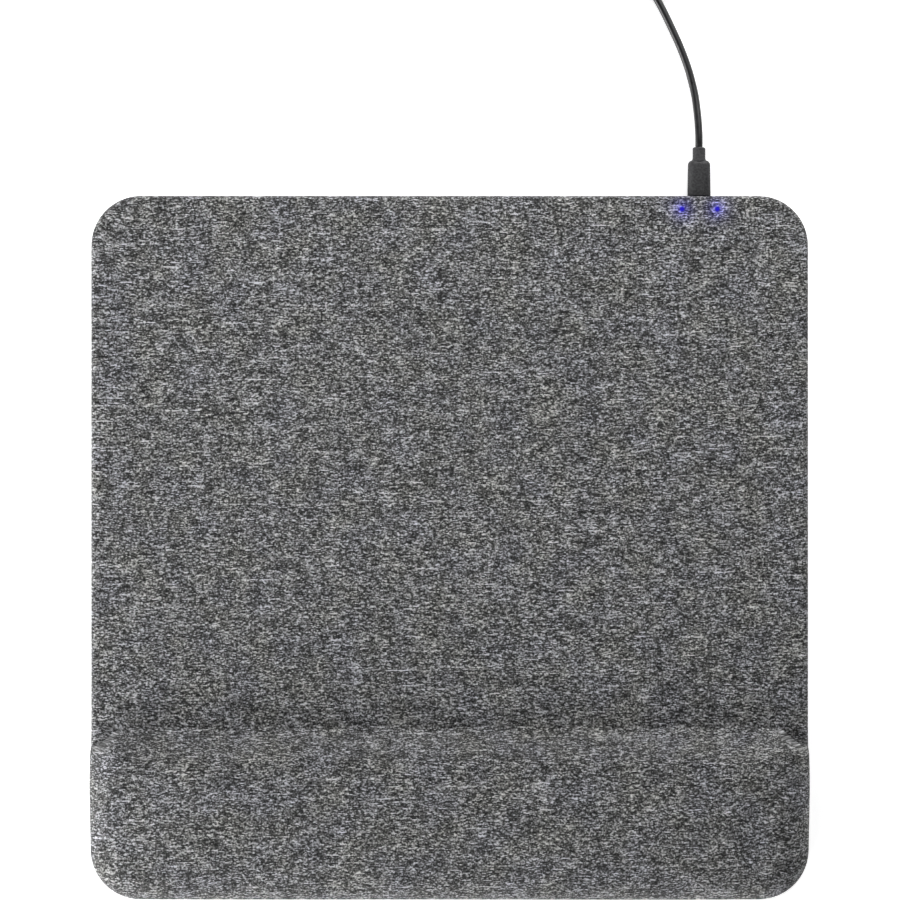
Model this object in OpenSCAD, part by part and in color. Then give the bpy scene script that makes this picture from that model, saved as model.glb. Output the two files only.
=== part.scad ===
// Desk mouse pad with a memory-foam wrist rest and a wireless phone charger built in.
// Millimetres, +Z up. The origin is on the table under the middle of the pad; +Y is the rear edge with the port.

/* [Pad] */
// Width of the pad, left to right
pad_w = 302; // [290:1:320]
// Depth of the pad, front to rear
pad_d = 296; // [280:1:310]
// Plan radius of the pad's four corners
corner_r = 21; // [16:0.5:26]
// Height of the flat mousing area above the table
flat_h = 9.5; // [9.5:0.1:11]
// Radius along the flat area's top edge
edge_r = 2.5; // [2:0.1:3]

/* [Wrist rest] */
// Height of the wrist rest's crown above the table
rest_h = 22; // [18:0.5:26]
// Depth of the wrist rest, front to rear
rest_d = 72.5; // [60:0.5:85]
// Plan radius of its two rear corners
rest_rear_r = 11.5; // [9:0.5:15]

/* [Layers] */
// Thickness of the knitted cover
fabric_t = 0.8; // [0.6:0.1:0.9]
// Thickness of the foam sheet under the mousing area
sheet_foam_t = 0.8; // [0.5:0.1:0.8]
// Thickness of the hard board under the foam
board_t = 1.2; // [1:0.1:1.2]
// Thickness of the non-slip rubber sheet
rubber_t = 1.0; // [0.8:0.1:1.0]
// Thickness of the moulded tray's floor
tray_floor_t = 1.4; // [1.2:0.1:1.4]

/* [Charger] */
// X of the port, the lights and the coil
port_x = 105.2; // [95:0.1:108]
// Y of the charging coil's centre
coil_y = 38; // [20:1:50]
// Outer radius of the charging coil
coil_r = 22; // [20:0.5:22]
// Turns of the charging coil
coil_turns = 10; // [8:1:10]
// Distance from the port's centre to each light
light_dx = 7.4; // [7:0.1:9]

/* [Cable] */
// Diameter of the cable
cord_d = 3.2; // [3:0.1:3.5]
// Width of the small plug's grip
grip_w = 9.8; // [9:0.1:11]
// Length of the small plug's grip
grip_l = 15; // [13:0.5:18]
// Mean radius of the stored coil of cable
hank_r = 19; // [17:0.5:20]

/* [Hidden] */
$fn = 48;

fit = 0.05;                            // clearance between pieces that are pushed together
half_w = pad_w / 2;
half_d = pad_d / 2;
skin_z = rubber_t;                     // underside of the cover's turned-under hem
hem_w = 13;                            // width of that hem
glue = 0.3;                            // glue line between the cover and the tray
wall_t = 2;                            // tray's rim wall
rib_t = 1.2;
floor_z = skin_z + tray_floor_t;       // top of the tray's floor
foam_z = flat_h - fabric_t;            // top of the foam sheet
board_z = foam_z - sheet_foam_t;       // top of the board
bay_z = board_z - board_t;             // underside of the board and roof of the bay
rest_y = -half_d + rest_d;             // rear edge of the wrist rest

// Screws that hold the board down on the tray
board_screw_at = [[-136, 132], [-45, 136], [45, 136], [-136, 10], [-45, 40], [45, 40],
    [-136, -60], [-45, -50], [45, -50], [136, -60], [-120, -132], [0, -136], [120, -132]];
screw_r = 1.2;
screw_head_r = 2.45;
screw_l = 4.2;

// Charger bay
carrier_w = 54;
carrier_floor_t = 0.8;
ferrite_w = 50;
ferrite_t = 1.2;
litz_t = 2;
litz_w = 1;
litz_r = 0.5;
ferrite_z = floor_z + carrier_floor_t;
coil_z = ferrite_z + ferrite_t;
pcb_w = 44;
pcb_y0 = 119;
pcb_y1 = 144.7;
pcb_t = 0.8;
pcb_z = floor_z + 0.32;
pcb_top = pcb_z + pcb_t;
light_y = 142.3;
pcb_screw_l = 1.6;
pcb_screw_at = [[-18.5, 140.5], [18.5, 140.5], [-18.5, 122.5], [18.5, 122.5]];

// Port and small plug, a five-contact micro type
shell_t = 0.3;
mouth_w = 7;                           // the socket's opening
mouth_h = 1.95;
socket_l = 5.8;
port_z = pcb_top + mouth_h / 2 + shell_t;
socket_y = half_d - fabric_t;          // mouth of the socket
plug_w = 6.85;
plug_h = 1.8;
plug_wall = 0.25;
plug_l = 6;                            // how far the plug reaches into the pad
plug_y = half_d + 0.1;                 // front face of the grip
grip_h = 6.6;
relief_r = 2.75;
relief_l = 5.5;
cord_y = plug_y + grip_l + relief_l;

// Large plug that goes to the charger, a four-contact type-A
usb_a_at = [112, 280, 4];
usb_a_turn = -30;
usb_a_relief_l = 10;
usb_a_grip = [16, 22, 8];
usb_a_shell = [12, 11.8, 4.5];

// Route of the cable from the small plug to the stored coil
lead_route = [[port_x, cord_y, port_z], [port_x, 172, port_z], [105.1, 176, 4.4], [104.8, 181, 3.7],
    [104.3, 186, 2.8], [103.6, 191, 2.1], [102.5, 196, 1.7], [101, 201.5, 1.6],
    [99.1, 207, 1.6], [96.9, 212.5, 1.6], [94.4, 218, 1.6], [91.8, 223.5, 1.6], [89, 229, 1.6],
    [85.9, 234.3, 1.6], [82.3, 239.3, 1.6], [78.1, 243.9, 1.6], [73.6, 247.9, 1.6],
    [68.9, 251.6, 1.8], [65.1, 255.6, 2.1], [62.3, 260.2, 2.4], [60.9, 265.4, 2.5]];
// Route from the stored coil to the charger's plug
tail_route = [[83.2, 287.6, 12.2], [88, 287.4, 11.6], [92.2, 286.8, 10.1], [96.2, 285.9, 8.2],
    [100.1, 284.8, 6.3], [104, 283.5, 5.0], [108, 281.9, 4.2], usb_a_at];

// Stored coil: four layers of three turns, on the strap that ties it
hank_at = [83.2, 265.4];
hank_z = 0.85;
hank_pitch = cord_d + 0.05;
hank_rows = 3;
hank_layers = 4;
hank_w = (hank_rows - 1) * hank_pitch + cord_d;
hank_h = (hank_layers - 1) * hank_pitch + cord_d;
tie_turn = -50;
tie_w = 10;
tie_t = 0.8;

// ---- shared shapes ----

// Flat outline of a rectangle with round corners
module round_rect(w, d, r) {
    square([w - 2 * r, d], center = true);
    square([w, d - 2 * r], center = true);
    for (x = [-1, 1], y = [-1, 1])
        translate([x * (w / 2 - r), y * (d / 2 - r)]) circle(r);
}

// Plate of the pad's own outline, set in from its edge
module pad_plate(inset, z0, z1) {
    translate([0, 0, z0])
        linear_extrude(z1 - z0)
            round_rect(pad_w - 2 * inset, pad_d - 2 * inset, corner_r - min(inset, corner_r - 5));
}

// Points of a quarter circle from angle a to b
function arc(cx, cy, r, a, b, n = 6) =
    [for (i = [0 : n]) [cx + r * cos(a + (b - a) * i / n), cy + r * sin(a + (b - a) * i / n)]];

// Round puck with rounded top and bottom edges
module puck(r, z0, z1, top_r, foot_r) {
    rotate_extrude($fn = 40)
        polygon(concat([[0, z0]], arc(r - foot_r, z0 + foot_r, foot_r, -90, 0, 3),
            arc(r - top_r, z1 - top_r, top_r, 0, 90), [[0, z1]]));
}

// Outer form of the flat slab, taken in by t all round
module slab_form(t) {
    hull()
        for (x = [-1, 1], y = [-1, 1])
            translate([x * (half_w - corner_r), y * (half_d - corner_r), 0])
                puck(corner_r - t, skin_z + t, flat_h - t, edge_r - t, 1 - t);
}

// Outer form of the wrist rest, taken in by t all round: front corners, crown and rear corners
module rest_form(t) {
    crown_r = 25;
    hull()
        for (x = [-1, 1]) {
            translate([x * (half_w - corner_r), -half_d + corner_r, 0])
                puck(corner_r - t, skin_z + t, rest_h - 5.5 - t, 11 - t, 1 - t);
            translate([x * (half_w - crown_r), -half_d + 38, 0])
                puck(crown_r - t, skin_z + t, rest_h - t, 13 - t, 1 - t);
            translate([x * (half_w - rest_rear_r), rest_y - rest_rear_r, 0])
                puck(rest_rear_r - t, skin_z + t, rest_h - 2.5 - t, 7 - t, 1 - t);
        }
}

// Smooth line through the points of a route, with n steps between each two
function spline(p, i, t) =
    let (last = len(p) - 1,
        a = i > 0 ? p[i - 1] : 2 * p[0] - p[1], b = p[i], c = p[i + 1],
        d = i + 2 <= last ? p[i + 2] : 2 * p[last] - p[last - 1])
    b + 0.5 * t * (c - a + t * (2 * a - 5 * b + 4 * c - d + t * (3 * (b - c) + d - a)));
function smooth_route(p, n) =
    concat([for (i = [0 : len(p) - 2], k = [0 : n - 1]) spline(p, i, k / n)], [p[len(p) - 1]]);

// Eight-sided tube swept along a line that never stands upright
module tube(line, r) {
    sides = 8;
    count = len(line);
    rings = [for (i = [0 : count - 1])
        let (along = line[min(i + 1, count - 1)] - line[max(i - 1, 0)],
            side = cross(along, [0, 0, 1]) / norm(cross(along, [0, 0, 1])),
            up = cross(side, along) / norm(along))
        [for (k = [0 : sides - 1])
            line[i] + r * (cos(360 * k / sides) * side + sin(360 * k / sides) * up)]];
    polyhedron(
        points = [for (ring = rings, p = ring) p],
        faces = concat(
            [[for (k = [0 : sides - 1]) k]],
            [for (i = [0 : count - 2], k = [0 : sides - 1])
                let (a = i * sides, b = a + sides, n = (k + 1) % sides)
                [a + k, b + k, b + n, a + n]],
            [[for (k = [sides - 1 : -1 : 0]) (count - 1) * sides + k]]));
}

// Cross-section of the small plug and its socket: a flat bar with two cut lower corners
module micro_outline(w, h) {
    cut = 0.75;
    polygon([[-w / 2, h / 2], [-w / 2, -h / 2 + cut], [-w / 2 + cut, -h / 2],
        [w / 2 - cut, -h / 2], [w / 2, -h / 2 + cut], [w / 2, h / 2]]);
}

// The same section as a bar along Y
module micro_bar(w, h, y0, y1) {
    translate([port_x, y1, port_z])
        rotate([90, 0, 0])
            linear_extrude(y1 - y0) micro_outline(w, h);
}

// ---- pad ----

module rubber_base() {
    color("#26272a") pad_plate(4, 0, rubber_t);
}

module charger_bay(grow, z0, z1) {
    translate([port_x - carrier_w / 2 - grow, coil_y - carrier_w / 2 - grow, z0])
        cube([carrier_w + 2 * grow, carrier_w + 2 * grow, z1 - z0]);
    translate([port_x - pcb_w / 2 - grow, pcb_y0 - grow, z0])
        cube([pcb_w + 2 * grow, half_d - fabric_t - glue - wall_t - pcb_y0 + grow, z1 - z0]);
    translate([port_x - 5 - grow, coil_y, z0])
        cube([10 + 2 * grow, pcb_y0 - coil_y, z1 - z0]);
}

module tray_ribs() {
    rib_gap = 28;
    intersection() {
        union() {
            for (x = [-5 : 5])
                translate([x * rib_gap - rib_t / 2, -half_d, floor_z - fit])
                    cube([rib_t, pad_d, bay_z - floor_z + fit]);
            for (y = [-5 : 5])
                translate([-half_w, y * rib_gap - rib_t / 2, floor_z - fit])
                    cube([pad_w, rib_t, bay_z - floor_z + fit]);
        }
        pad_plate(fabric_t + glue + fit, floor_z - fit, bay_z);
    }
}

module base_tray() {
    rim = fabric_t + glue;
    color("#2b2c2f")
        difference() {
            union() {
                pad_plate(hem_w + 0.2, skin_z, floor_z);
                pad_plate(rim, skin_z + fabric_t, floor_z);
                difference() {
                    pad_plate(rim, floor_z - fit, bay_z);
                    pad_plate(rim + wall_t, floor_z - 2 * fit, bay_z + 1);
                }
                difference() {
                    tray_ribs();
                    charger_bay(1.2, floor_z - 1, bay_z + 1);
                }
                difference() {
                    charger_bay(1.2, floor_z - fit, bay_z);
                    charger_bay(0.2, floor_z - 2 * fit, bay_z + 1);
                }
                for (p = board_screw_at)
                    translate([p.x, p.y, floor_z - fit])
                        cylinder(r = 3.2, h = bay_z - floor_z + fit);
                for (p = pcb_screw_at)
                    translate([port_x + p.x, p.y, floor_z - fit])
                        cylinder(r = 2.2, h = pcb_z - floor_z + fit);
            }
            for (p = board_screw_at)
                translate([p.x, p.y, bay_z - screw_l + board_t])
                    cylinder(r = screw_r + fit, h = screw_l);
            for (p = pcb_screw_at)
                translate([port_x + p.x, p.y, skin_z + 0.85]) cylinder(r = 0.85, h = 4);
            translate([port_x - 6.4, half_d - 6, port_z - 1.85]) cube([12.8, 6, 6]);
        }
}

module top_board() {
    color("#3a3b3e")
        difference() {
            pad_plate(fabric_t + 0.8, bay_z, board_z);
            for (p = board_screw_at)
                translate([p.x, p.y, bay_z])
                    cylinder(r1 = screw_r + 0.15, r2 = screw_head_r + fit, h = board_t);
            for (s = [-1, 1])
                translate([port_x + s * light_dx, light_y, bay_z - 1])
                    cylinder(r = 1.5 + fit, h = board_t + 2);
        }
}

module board_screws() {
    color("#9a9da2")
        for (p = board_screw_at)
            translate([p.x, p.y, 0])
                difference() {
                    union() {
                        translate([0, 0, bay_z + fit])
                            cylinder(r1 = screw_r, r2 = screw_head_r, h = board_t - 2 * fit);
                        translate([0, 0, board_z - screw_l]) cylinder(r = screw_r, h = screw_l - board_t + 0.2);
                    }
                    for (a = [0, 90])
                        rotate(a)
                            translate([-1.3, -0.25, board_z - 0.6]) cube([2.6, 0.5, 1]);
                }
}

module surface_foam() {
    color("#6e7074")
        difference() {
            pad_plate(edge_r + 0.3, board_z, foam_z);
            translate([-half_w, -half_d, board_z - 1]) cube([pad_w, rest_d + 0.2, 4]);
            for (s = [-1, 1])
                translate([port_x + s * light_dx, light_y, board_z - 1]) cylinder(r = 1.7, h = 3);
        }
}

module wrist_foam() {
    color("#d8d2bf")
        intersection() {
            rest_form(fabric_t + fit);
            translate([-half_w, -half_d, board_z]) cube([pad_w, pad_d, rest_h]);
        }
}

module fabric_cover() {
    color("#6b6c70")
        difference() {
            union() {
                slab_form(0);
                rest_form(0);
            }
            slab_form(fabric_t);
            rest_form(fabric_t);
            pad_plate(hem_w, skin_z - 1, skin_z + fabric_t + 0.1);
            translate([port_x - 7.55, half_d - 2, port_z - 2.65]) cube([15.1, 4, 5.3]);
        }
}

module port_bezel() {
    color("#1b1b1d")
        difference() {
            union() {
                translate([port_x - 7.5, half_d - 1.1, port_z - 2.6]) cube([15, 0.8, 5.2]);
                translate([port_x - 6.3, half_d - 3.1, port_z - 1.75]) cube([12.6, 2.05, 3.5]);
            }
            translate([port_x - 4.1, half_d - 4, port_z - 1.55]) cube([8.2, 5, 3.1]);
        }
}

// ---- charger ----

module coil_carrier() {
    color("#e8e8e4")
        translate([port_x, coil_y, floor_z])
            difference() {
                linear_extrude(bay_z - floor_z - 0.1) round_rect(carrier_w, carrier_w, 4);
                translate([0, 0, carrier_floor_t])
                    linear_extrude(6) round_rect(ferrite_w + 0.2, ferrite_w + 0.2, 2.6);
                translate([-4, ferrite_w / 2 - 1, carrier_floor_t]) cube([8, 6, 6]);
            }
}

module ferrite_plate() {
    color("#3d3a38")
        translate([port_x, coil_y, ferrite_z])
            difference() {
                linear_extrude(ferrite_t) round_rect(ferrite_w, ferrite_w, 2.5);
                translate([-1, 0, -1]) cube([2, ferrite_w, 4]);
            }
}

// Flat spiral of stranded wire
module charging_coil() {
    step = 10;
    pitch = (coil_r - litz_w / 2 - 10.3) / coil_turns;
    turn = [for (a = [90 : step : 90 + 360 * coil_turns])
        [10.3 + pitch * (a - 90) / 360, a]];
    color("#b5652b")
        translate([port_x, coil_y, coil_z])
            linear_extrude(litz_t)
                polygon(concat(
                    [for (p = turn) (p[0] - litz_w / 2) * [cos(p[1]), sin(p[1])]],
                    [for (i = [len(turn) - 1 : -1 : 0])
                        (turn[i][0] + litz_w / 2) * [cos(turn[i][1]), sin(turn[i][1])]]));
}

// Two stranded wires: one comes out under the coil through the plate's slot, one from its outer end
module coil_leads() {
    solder_y = pcb_y0 - coil_y + 3;
    solder_z = pcb_top + litz_r + fit;
    color("#8f4d20")
        translate([port_x, coil_y, 0]) {
            tube(smooth_route([[0, 7.9, coil_z + 1.2], [0, 8.1, coil_z + 0.3], [0, 8.8, ferrite_z + 0.8],
                [0, 10.4, ferrite_z + 0.56], [0, 14, ferrite_z + 0.56], [0, 22, ferrite_z + 0.56],
                [0, 31, ferrite_z + 0.7], [-2.2, 42, 4.2], [-2.2, 70, solder_z],
                [-2.2, solder_y, solder_z]], 2), litz_r);
            tube(smooth_route([[0.6, coil_r + 0.6, coil_z + 1], [1.8, 27, coil_z + 1],
                [2.2, 32, coil_z + 0.8], [2.2, 42, 4.6], [2.2, 70, solder_z],
                [2.2, solder_y, solder_z]], 2), litz_r);
        }
}

// Temperature sensor in the middle of the coil, on two thin legs
module thermistor() {
    color("#1d3b2a")
        translate([port_x, coil_y, coil_z]) {
            translate([0, 0, 0.4]) cylinder(r = 1.3, h = 1.5);
            for (s = [-1, 1])
                translate([s * 0.5 - 0.15, -6, 0.1]) cube([0.3, 6.5, 0.3]);
        }
}

module circuit_board() {
    color("#14532d")
        difference() {
            translate([port_x - pcb_w / 2, pcb_y0, pcb_z]) cube([pcb_w, pcb_y1 - pcb_y0, pcb_t]);
            for (p = pcb_screw_at)
                translate([port_x + p.x, p.y, pcb_z - 1]) cylinder(r = 1.1, h = 3);
        }
}

module pcb_screws() {
    color("#b9bbbf")
        for (p = pcb_screw_at)
            translate([port_x + p.x, p.y, 0])
                difference() {
                    union() {
                        translate([0, 0, pcb_top]) cylinder(r = 1.7, h = 1);
                        translate([0, 0, pcb_top - pcb_screw_l]) cylinder(r = 0.8, h = pcb_screw_l);
                    }
                    for (a = [0, 90])
                        rotate(a)
                            translate([-0.9, -0.18, pcb_top + 0.5]) cube([1.8, 0.36, 1]);
                }
}

// Chips: the controller and four power transistors
module controller_chips() {
    color("#17181a") {
        translate([port_x - 3, 133, pcb_top]) cube([6, 6, 0.9]);
        for (x = [-16, -8.5, 3.5, 11])
            translate([port_x + x, 127, pcb_top]) cube([5, 4, 1.4]);
    }
}

module resonant_capacitors() {
    color("#8a7f70")
        for (x = [-14, -8.2, 5, 10.8])
            translate([port_x + x, 120.2, pcb_top]) cube([3.2, 5, 2.3]);
}

// Small resistors and capacitors in two rows
module small_components() {
    color("#b8a27a")
        for (x = [-15 : 3 : 15])
            if (abs(x) > 5)
                for (y = [133.2, 136.6])
                    translate([port_x + x - 0.4, y, pcb_top]) cube([0.8, 1.6, 0.5]);
}

module light(side) {
    color("#e9edf7")
        translate([port_x + side * light_dx - 0.62, light_y - 1, pcb_top]) cube([1.25, 2, 0.8]);
}

// Clear post that carries a light up through the board to the cover
module light_pipe(side) {
    color("#dfe8ff")
        translate([port_x + side * light_dx, light_y, 0]) {
            translate([0, 0, pcb_top + 1]) cylinder(r = 1.5, h = foam_z - pcb_top - 1.1);
            translate([0, 0, bay_z - 0.8]) cylinder(r = 2.2, h = 0.75);
        }
}

module receptacle_shell() {
    color("#c9ccd1")
        difference() {
            micro_bar(mouth_w + 2 * shell_t, mouth_h + 2 * shell_t, socket_y - socket_l, socket_y);
            micro_bar(mouth_w, mouth_h, socket_y - socket_l - 1, socket_y + 1);
        }
}

// Back wall and tongue of the socket
module receptacle_insulator() {
    color("#2a2a2c")
        union() {
            micro_bar(mouth_w - 2 * fit, mouth_h - 2 * fit, socket_y - socket_l, socket_y - socket_l + 0.5);
            translate([port_x - 1.85, socket_y - socket_l + 0.4, port_z + 0.05]) cube([3.7, 4, 0.55]);
        }
}

module five_contacts(y0, y1, z0, z1) {
    for (i = [-2 : 2])
        translate([port_x + i * 0.65 - 0.15, y0, z0]) cube([0.3, y1 - y0, z1 - z0]);
}

module receptacle_contacts() {
    color("#d4af37")
        five_contacts(socket_y - socket_l + 0.6, socket_y - socket_l + 4.2, port_z - 0.02, port_z + 0.05);
}

// ---- cable ----

module plug_shell() {
    inner_w = plug_w - 2 * plug_wall;
    inner_h = plug_h - 2 * plug_wall;
    color("#c9ccd1")
        difference() {
            micro_bar(plug_w, plug_h, plug_y - plug_l, plug_y + 5);
            micro_bar(inner_w, inner_h, plug_y - plug_l - 1, plug_y + 6);
            for (s = [-1, 1])
                translate([port_x + s * 1.9 - 0.45, plug_y - 3.6, port_z - 1.5]) cube([0.9, 1.5, 1]);
        }
}

// Block behind the contacts and the shelf that they lie on
module plug_insulator() {
    inner_h = plug_h - 2 * plug_wall;
    color("#202022")
        difference() {
            micro_bar(plug_w - 2 * plug_wall - 2 * fit, inner_h - 2 * fit, plug_y - plug_l + 0.3, plug_y + 5);
            translate([port_x - 2.2, plug_y - plug_l, port_z - 0.35]) cube([4.4, plug_l - 0.6, 2]);
        }
}

module plug_contacts() {
    color("#d4af37") five_contacts(plug_y - plug_l + 0.6, plug_y - 1.2, port_z - 0.35, port_z - 0.12);
}

// Moulded grip: wider at the plug, with round rear corners and round long edges
module plug_grip() {
    y1 = plug_y + grip_l;
    rear_r = 2.2;
    side_r = 2.4;
    color("#2f2f31")
        difference() {
            intersection() {
                translate([port_x, 0, port_z - grip_h / 2])
                    linear_extrude(grip_h) {
                        polygon([[-grip_w / 2, plug_y], [grip_w / 2, plug_y],
                            [grip_w / 2 - 0.2, y1 - rear_r], [grip_w / 2 - 0.2 - rear_r, y1],
                            [-grip_w / 2 + 0.2 + rear_r, y1], [-grip_w / 2 + 0.2, y1 - rear_r]]);
                        for (s = [-1, 1])
                            translate([s * (grip_w / 2 - 0.2 - rear_r), y1 - rear_r]) circle(rear_r);
                    }
                translate([port_x, y1 + 1, port_z])
                    rotate([90, 0, 0])
                        linear_extrude(grip_l + 2) round_rect(grip_w + 0.2, grip_h, side_r);
            }
            micro_bar(plug_w + 2 * fit, plug_h + 2 * fit, plug_y - 1, plug_y + 5.1);
        }
}

// Stepped neck, a little slimmer at its end
module plug_strain_relief() {
    color("#2a2a2c")
        translate([port_x, plug_y + grip_l, port_z])
            rotate([-90, 0, 0])
                rotate_extrude()
                    polygon(concat([[0, 0], [relief_r, 0]],
                        arc(relief_r - 0.8, relief_l - 0.8, 0.6, 0, 90, 4), [[0, relief_l]]));
}

module cord_lead() {
    color("#232325") tube(smooth_route(lead_route, 2), cord_d / 2);
}

// Outer shape of the stored turns
module cord_coil() {
    color("#232325")
        translate([hank_at.x, hank_at.y, 0])
            rotate_extrude()
                translate([hank_r, hank_z + hank_h / 2])
                    round_rect(hank_w, hank_h, cord_d / 2);
}

module cord_tail() {
    color("#232325") tube(smooth_route(tail_route, 3), cord_d / 2);
}

// Hook-and-loop strap round the stored turns, with its free end lying over
module cable_tie() {
    inner_w = hank_w + 1.4;
    top_z = hank_z + hank_h + 0.05;
    color("#18181a")
        translate([hank_at.x, hank_at.y, 0])
            rotate(tie_turn)
                translate([hank_r - 0.45, 0, 0]) {
                    difference() {
                        translate([-inner_w / 2 - tie_t, -tie_w / 2, 0])
                            cube([inner_w + 2 * tie_t, tie_w, top_z + tie_t]);
                        translate([-inner_w / 2, -tie_w, tie_t])
                            cube([inner_w, 2 * tie_w, top_z - tie_t]);
                    }
                    translate([inner_w / 2 + tie_t, -tie_w / 2, 3]) cube([tie_t, tie_w, 9]);
                }
}

// Everything on the charger's plug is drawn along +Y from the cord's end, then laid in place
module place_charger_plug() {
    translate(usb_a_at) rotate(usb_a_turn - 90) children();
}

module charger_plug_strain_relief() {
    color("#2a2a2c")
        place_charger_plug()
            rotate([-90, 0, 0]) cylinder(r1 = 2.1, r2 = 3.4, h = usb_a_relief_l);
}

module charger_plug_grip() {
    size = usb_a_grip;
    shell = usb_a_shell;
    color("#2f2f31")
        place_charger_plug()
            translate([0, usb_a_relief_l, 0])
                difference() {
                    intersection() {
                        translate([0, size.y / 2, -size.z / 2])
                            linear_extrude(size.z) round_rect(size.x, size.y, 2.5);
                        translate([0, size.y + 1, 0])
                            rotate([90, 0, 0]) linear_extrude(size.y + 2) round_rect(size.x + 0.2, size.z, 1.6);
                    }
                    translate([-shell.x / 2 - fit, size.y - 7, -shell.z / 2 - fit])
                        cube([shell.x + 2 * fit, 8, shell.z + 2 * fit]);
                }
}

module charger_plug_shell() {
    shell = usb_a_shell;
    y0 = usb_a_relief_l + usb_a_grip.y - 6.9;
    color("#c9ccd1")
        place_charger_plug()
            difference() {
                translate([-shell.x / 2, y0, -shell.z / 2]) cube([shell.x, shell.y + 6.9, shell.z]);
                translate([-shell.x / 2 + shell_t, y0 - 1, -shell.z / 2 + shell_t])
                    cube([shell.x - 2 * shell_t, shell.y + 10, shell.z - 2 * shell_t]);
                for (s = [-1, 1], z = [-1, 1])
                    translate([s * 2.7 - 1.2, y0 + 12.2, z * shell.z / 2 - 0.5]) cube([2.4, 2.4, 1]);
            }
}

module charger_plug_insulator() {
    shell = usb_a_shell;
    y0 = usb_a_relief_l + usb_a_grip.y - 6.8;
    inner_w = shell.x - 2 * shell_t - 2 * fit;
    inner_h = shell.z - 2 * shell_t - 2 * fit;
    color("#f0f0ee")
        place_charger_plug()
            difference() {
                translate([-inner_w / 2, y0, -inner_h / 2]) cube([inner_w, shell.y + 6.2, inner_h]);
                translate([-inner_w, y0 + 8.2, -0.1]) cube([2 * inner_w, shell.y + 2, inner_h]);
            }
}

module charger_plug_contacts() {
    y1 = usb_a_relief_l + usb_a_grip.y + usb_a_shell.y;
    color("#d4af37")
        place_charger_plug()
            for (x = [-3.5, -1, 1, 3.5])
                translate([x - 0.5, y1 - 9.2, -0.1]) cube([1, 7.8, 0.15]);
}

rubber_base();
base_tray();
top_board();
board_screws();
surface_foam();
wrist_foam();
fabric_cover();
port_bezel();
coil_carrier();
ferrite_plate();
charging_coil();
coil_leads();
thermistor();
circuit_board();
pcb_screws();
controller_chips();
resonant_capacitors();
small_components();
light(-1);  // light_left
light(1);  // light_right
light_pipe(-1);  // light_pipe_left
light_pipe(1);  // light_pipe_right
receptacle_shell();
receptacle_insulator();
receptacle_contacts();
plug_shell();
plug_insulator();
plug_contacts();
plug_grip();
plug_strain_relief();
cord_lead();
cord_coil();
cord_tail();
cable_tie();
charger_plug_strain_relief();
charger_plug_grip();
charger_plug_shell();
charger_plug_insulator();
charger_plug_contacts();
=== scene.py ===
"""Looks of a desk mouse pad with a padded wrist rest, a built-in phone charger and its cable."""

import logging
import math
from dataclasses import dataclass, field
from enum import Enum
from functools import partialmethod
from typing import Sequence

import bmesh
import bpy
from mathutils import Matrix, Vector, noise


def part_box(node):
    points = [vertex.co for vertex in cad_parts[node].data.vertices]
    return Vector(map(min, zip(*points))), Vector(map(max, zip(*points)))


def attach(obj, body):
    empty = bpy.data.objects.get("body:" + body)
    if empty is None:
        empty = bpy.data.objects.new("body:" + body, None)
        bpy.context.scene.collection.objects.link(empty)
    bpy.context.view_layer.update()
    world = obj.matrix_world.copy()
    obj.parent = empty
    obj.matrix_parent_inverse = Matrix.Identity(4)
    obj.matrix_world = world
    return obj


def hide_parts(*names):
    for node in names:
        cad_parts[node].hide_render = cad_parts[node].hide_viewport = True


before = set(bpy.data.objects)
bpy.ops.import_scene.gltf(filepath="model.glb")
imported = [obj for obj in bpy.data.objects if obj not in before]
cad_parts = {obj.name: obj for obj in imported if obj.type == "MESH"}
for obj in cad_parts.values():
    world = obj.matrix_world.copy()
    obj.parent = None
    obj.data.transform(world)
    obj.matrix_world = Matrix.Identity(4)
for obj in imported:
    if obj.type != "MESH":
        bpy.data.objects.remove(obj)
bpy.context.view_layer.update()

LOG = logging.getLogger("mouse_pad")
MM = 0.001
TINY = 1e-6
CLOTH = 0.8 * MM
SRGB_KNEE, SRGB_SLOPE, SRGB_OFFSET, SRGB_POWER = 0.04045, 12.92, 0.055, 2.4

Colour = tuple[float, float, float]
Mesh = bmesh.types.BMesh
Vert = bmesh.types.BMVert
Edge = bmesh.types.BMEdge
Piece = bpy.types.Object
Socket = bpy.types.NodeSocket


class Body(str, Enum):
    """The frame's bodies that pieces ride on."""

    PAD = "pad"
    CABLE = "cable"


# ---------------------------------------------------------------- helpers


def linear(colour: Colour) -> tuple[float, float, float, float]:
    """Turns a screen colour into the linear one that shaders take.

    Args:
        colour: Red, green and blue from 0 to 1, as seen on a screen.

    Returns:
        The linear colour with an alpha of 1.
    """
    parts = [c / SRGB_SLOPE if c <= SRGB_KNEE else ((c + SRGB_OFFSET) / (1 + SRGB_OFFSET)) ** SRGB_POWER
             for c in colour]
    return parts[0], parts[1], parts[2], 1.0


def shade(colour: Colour, gain: float, lift: float = 0.0) -> Colour:
    """A colour made lighter or darker, held at white."""
    return tuple(min(1.0, c * gain + lift) for c in colour)


def ease(t: float) -> float:
    """Smooth step from 0 to 1 for t from 0 to 1, flat outside."""
    t = min(1.0, max(0.0, t))
    return t * t * (3 - 2 * t)


def round_rise(t: float, power: float) -> float:
    """Rises from 0 to 1 like a quarter of an ellipse, upright at 0 and level at 1.

    Args:
        t: Share of the run, held between 0 and 1.
        power: 2 is an ellipse, and more is squarer.

    Returns:
        The share of the height.
    """
    t = min(1.0, max(0.0, t))
    return (1 - (1 - t) ** power) ** (1 / power)


def soft_min(a: float, b: float, blend: float) -> float:
    """The smaller of two heights, with the corner between them rounded over a blend width."""
    h = min(1.0, max(0.0, 0.5 + 0.5 * (b - a) / blend))
    return b + (a - b) * h - blend * h * (1 - h)


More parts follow.
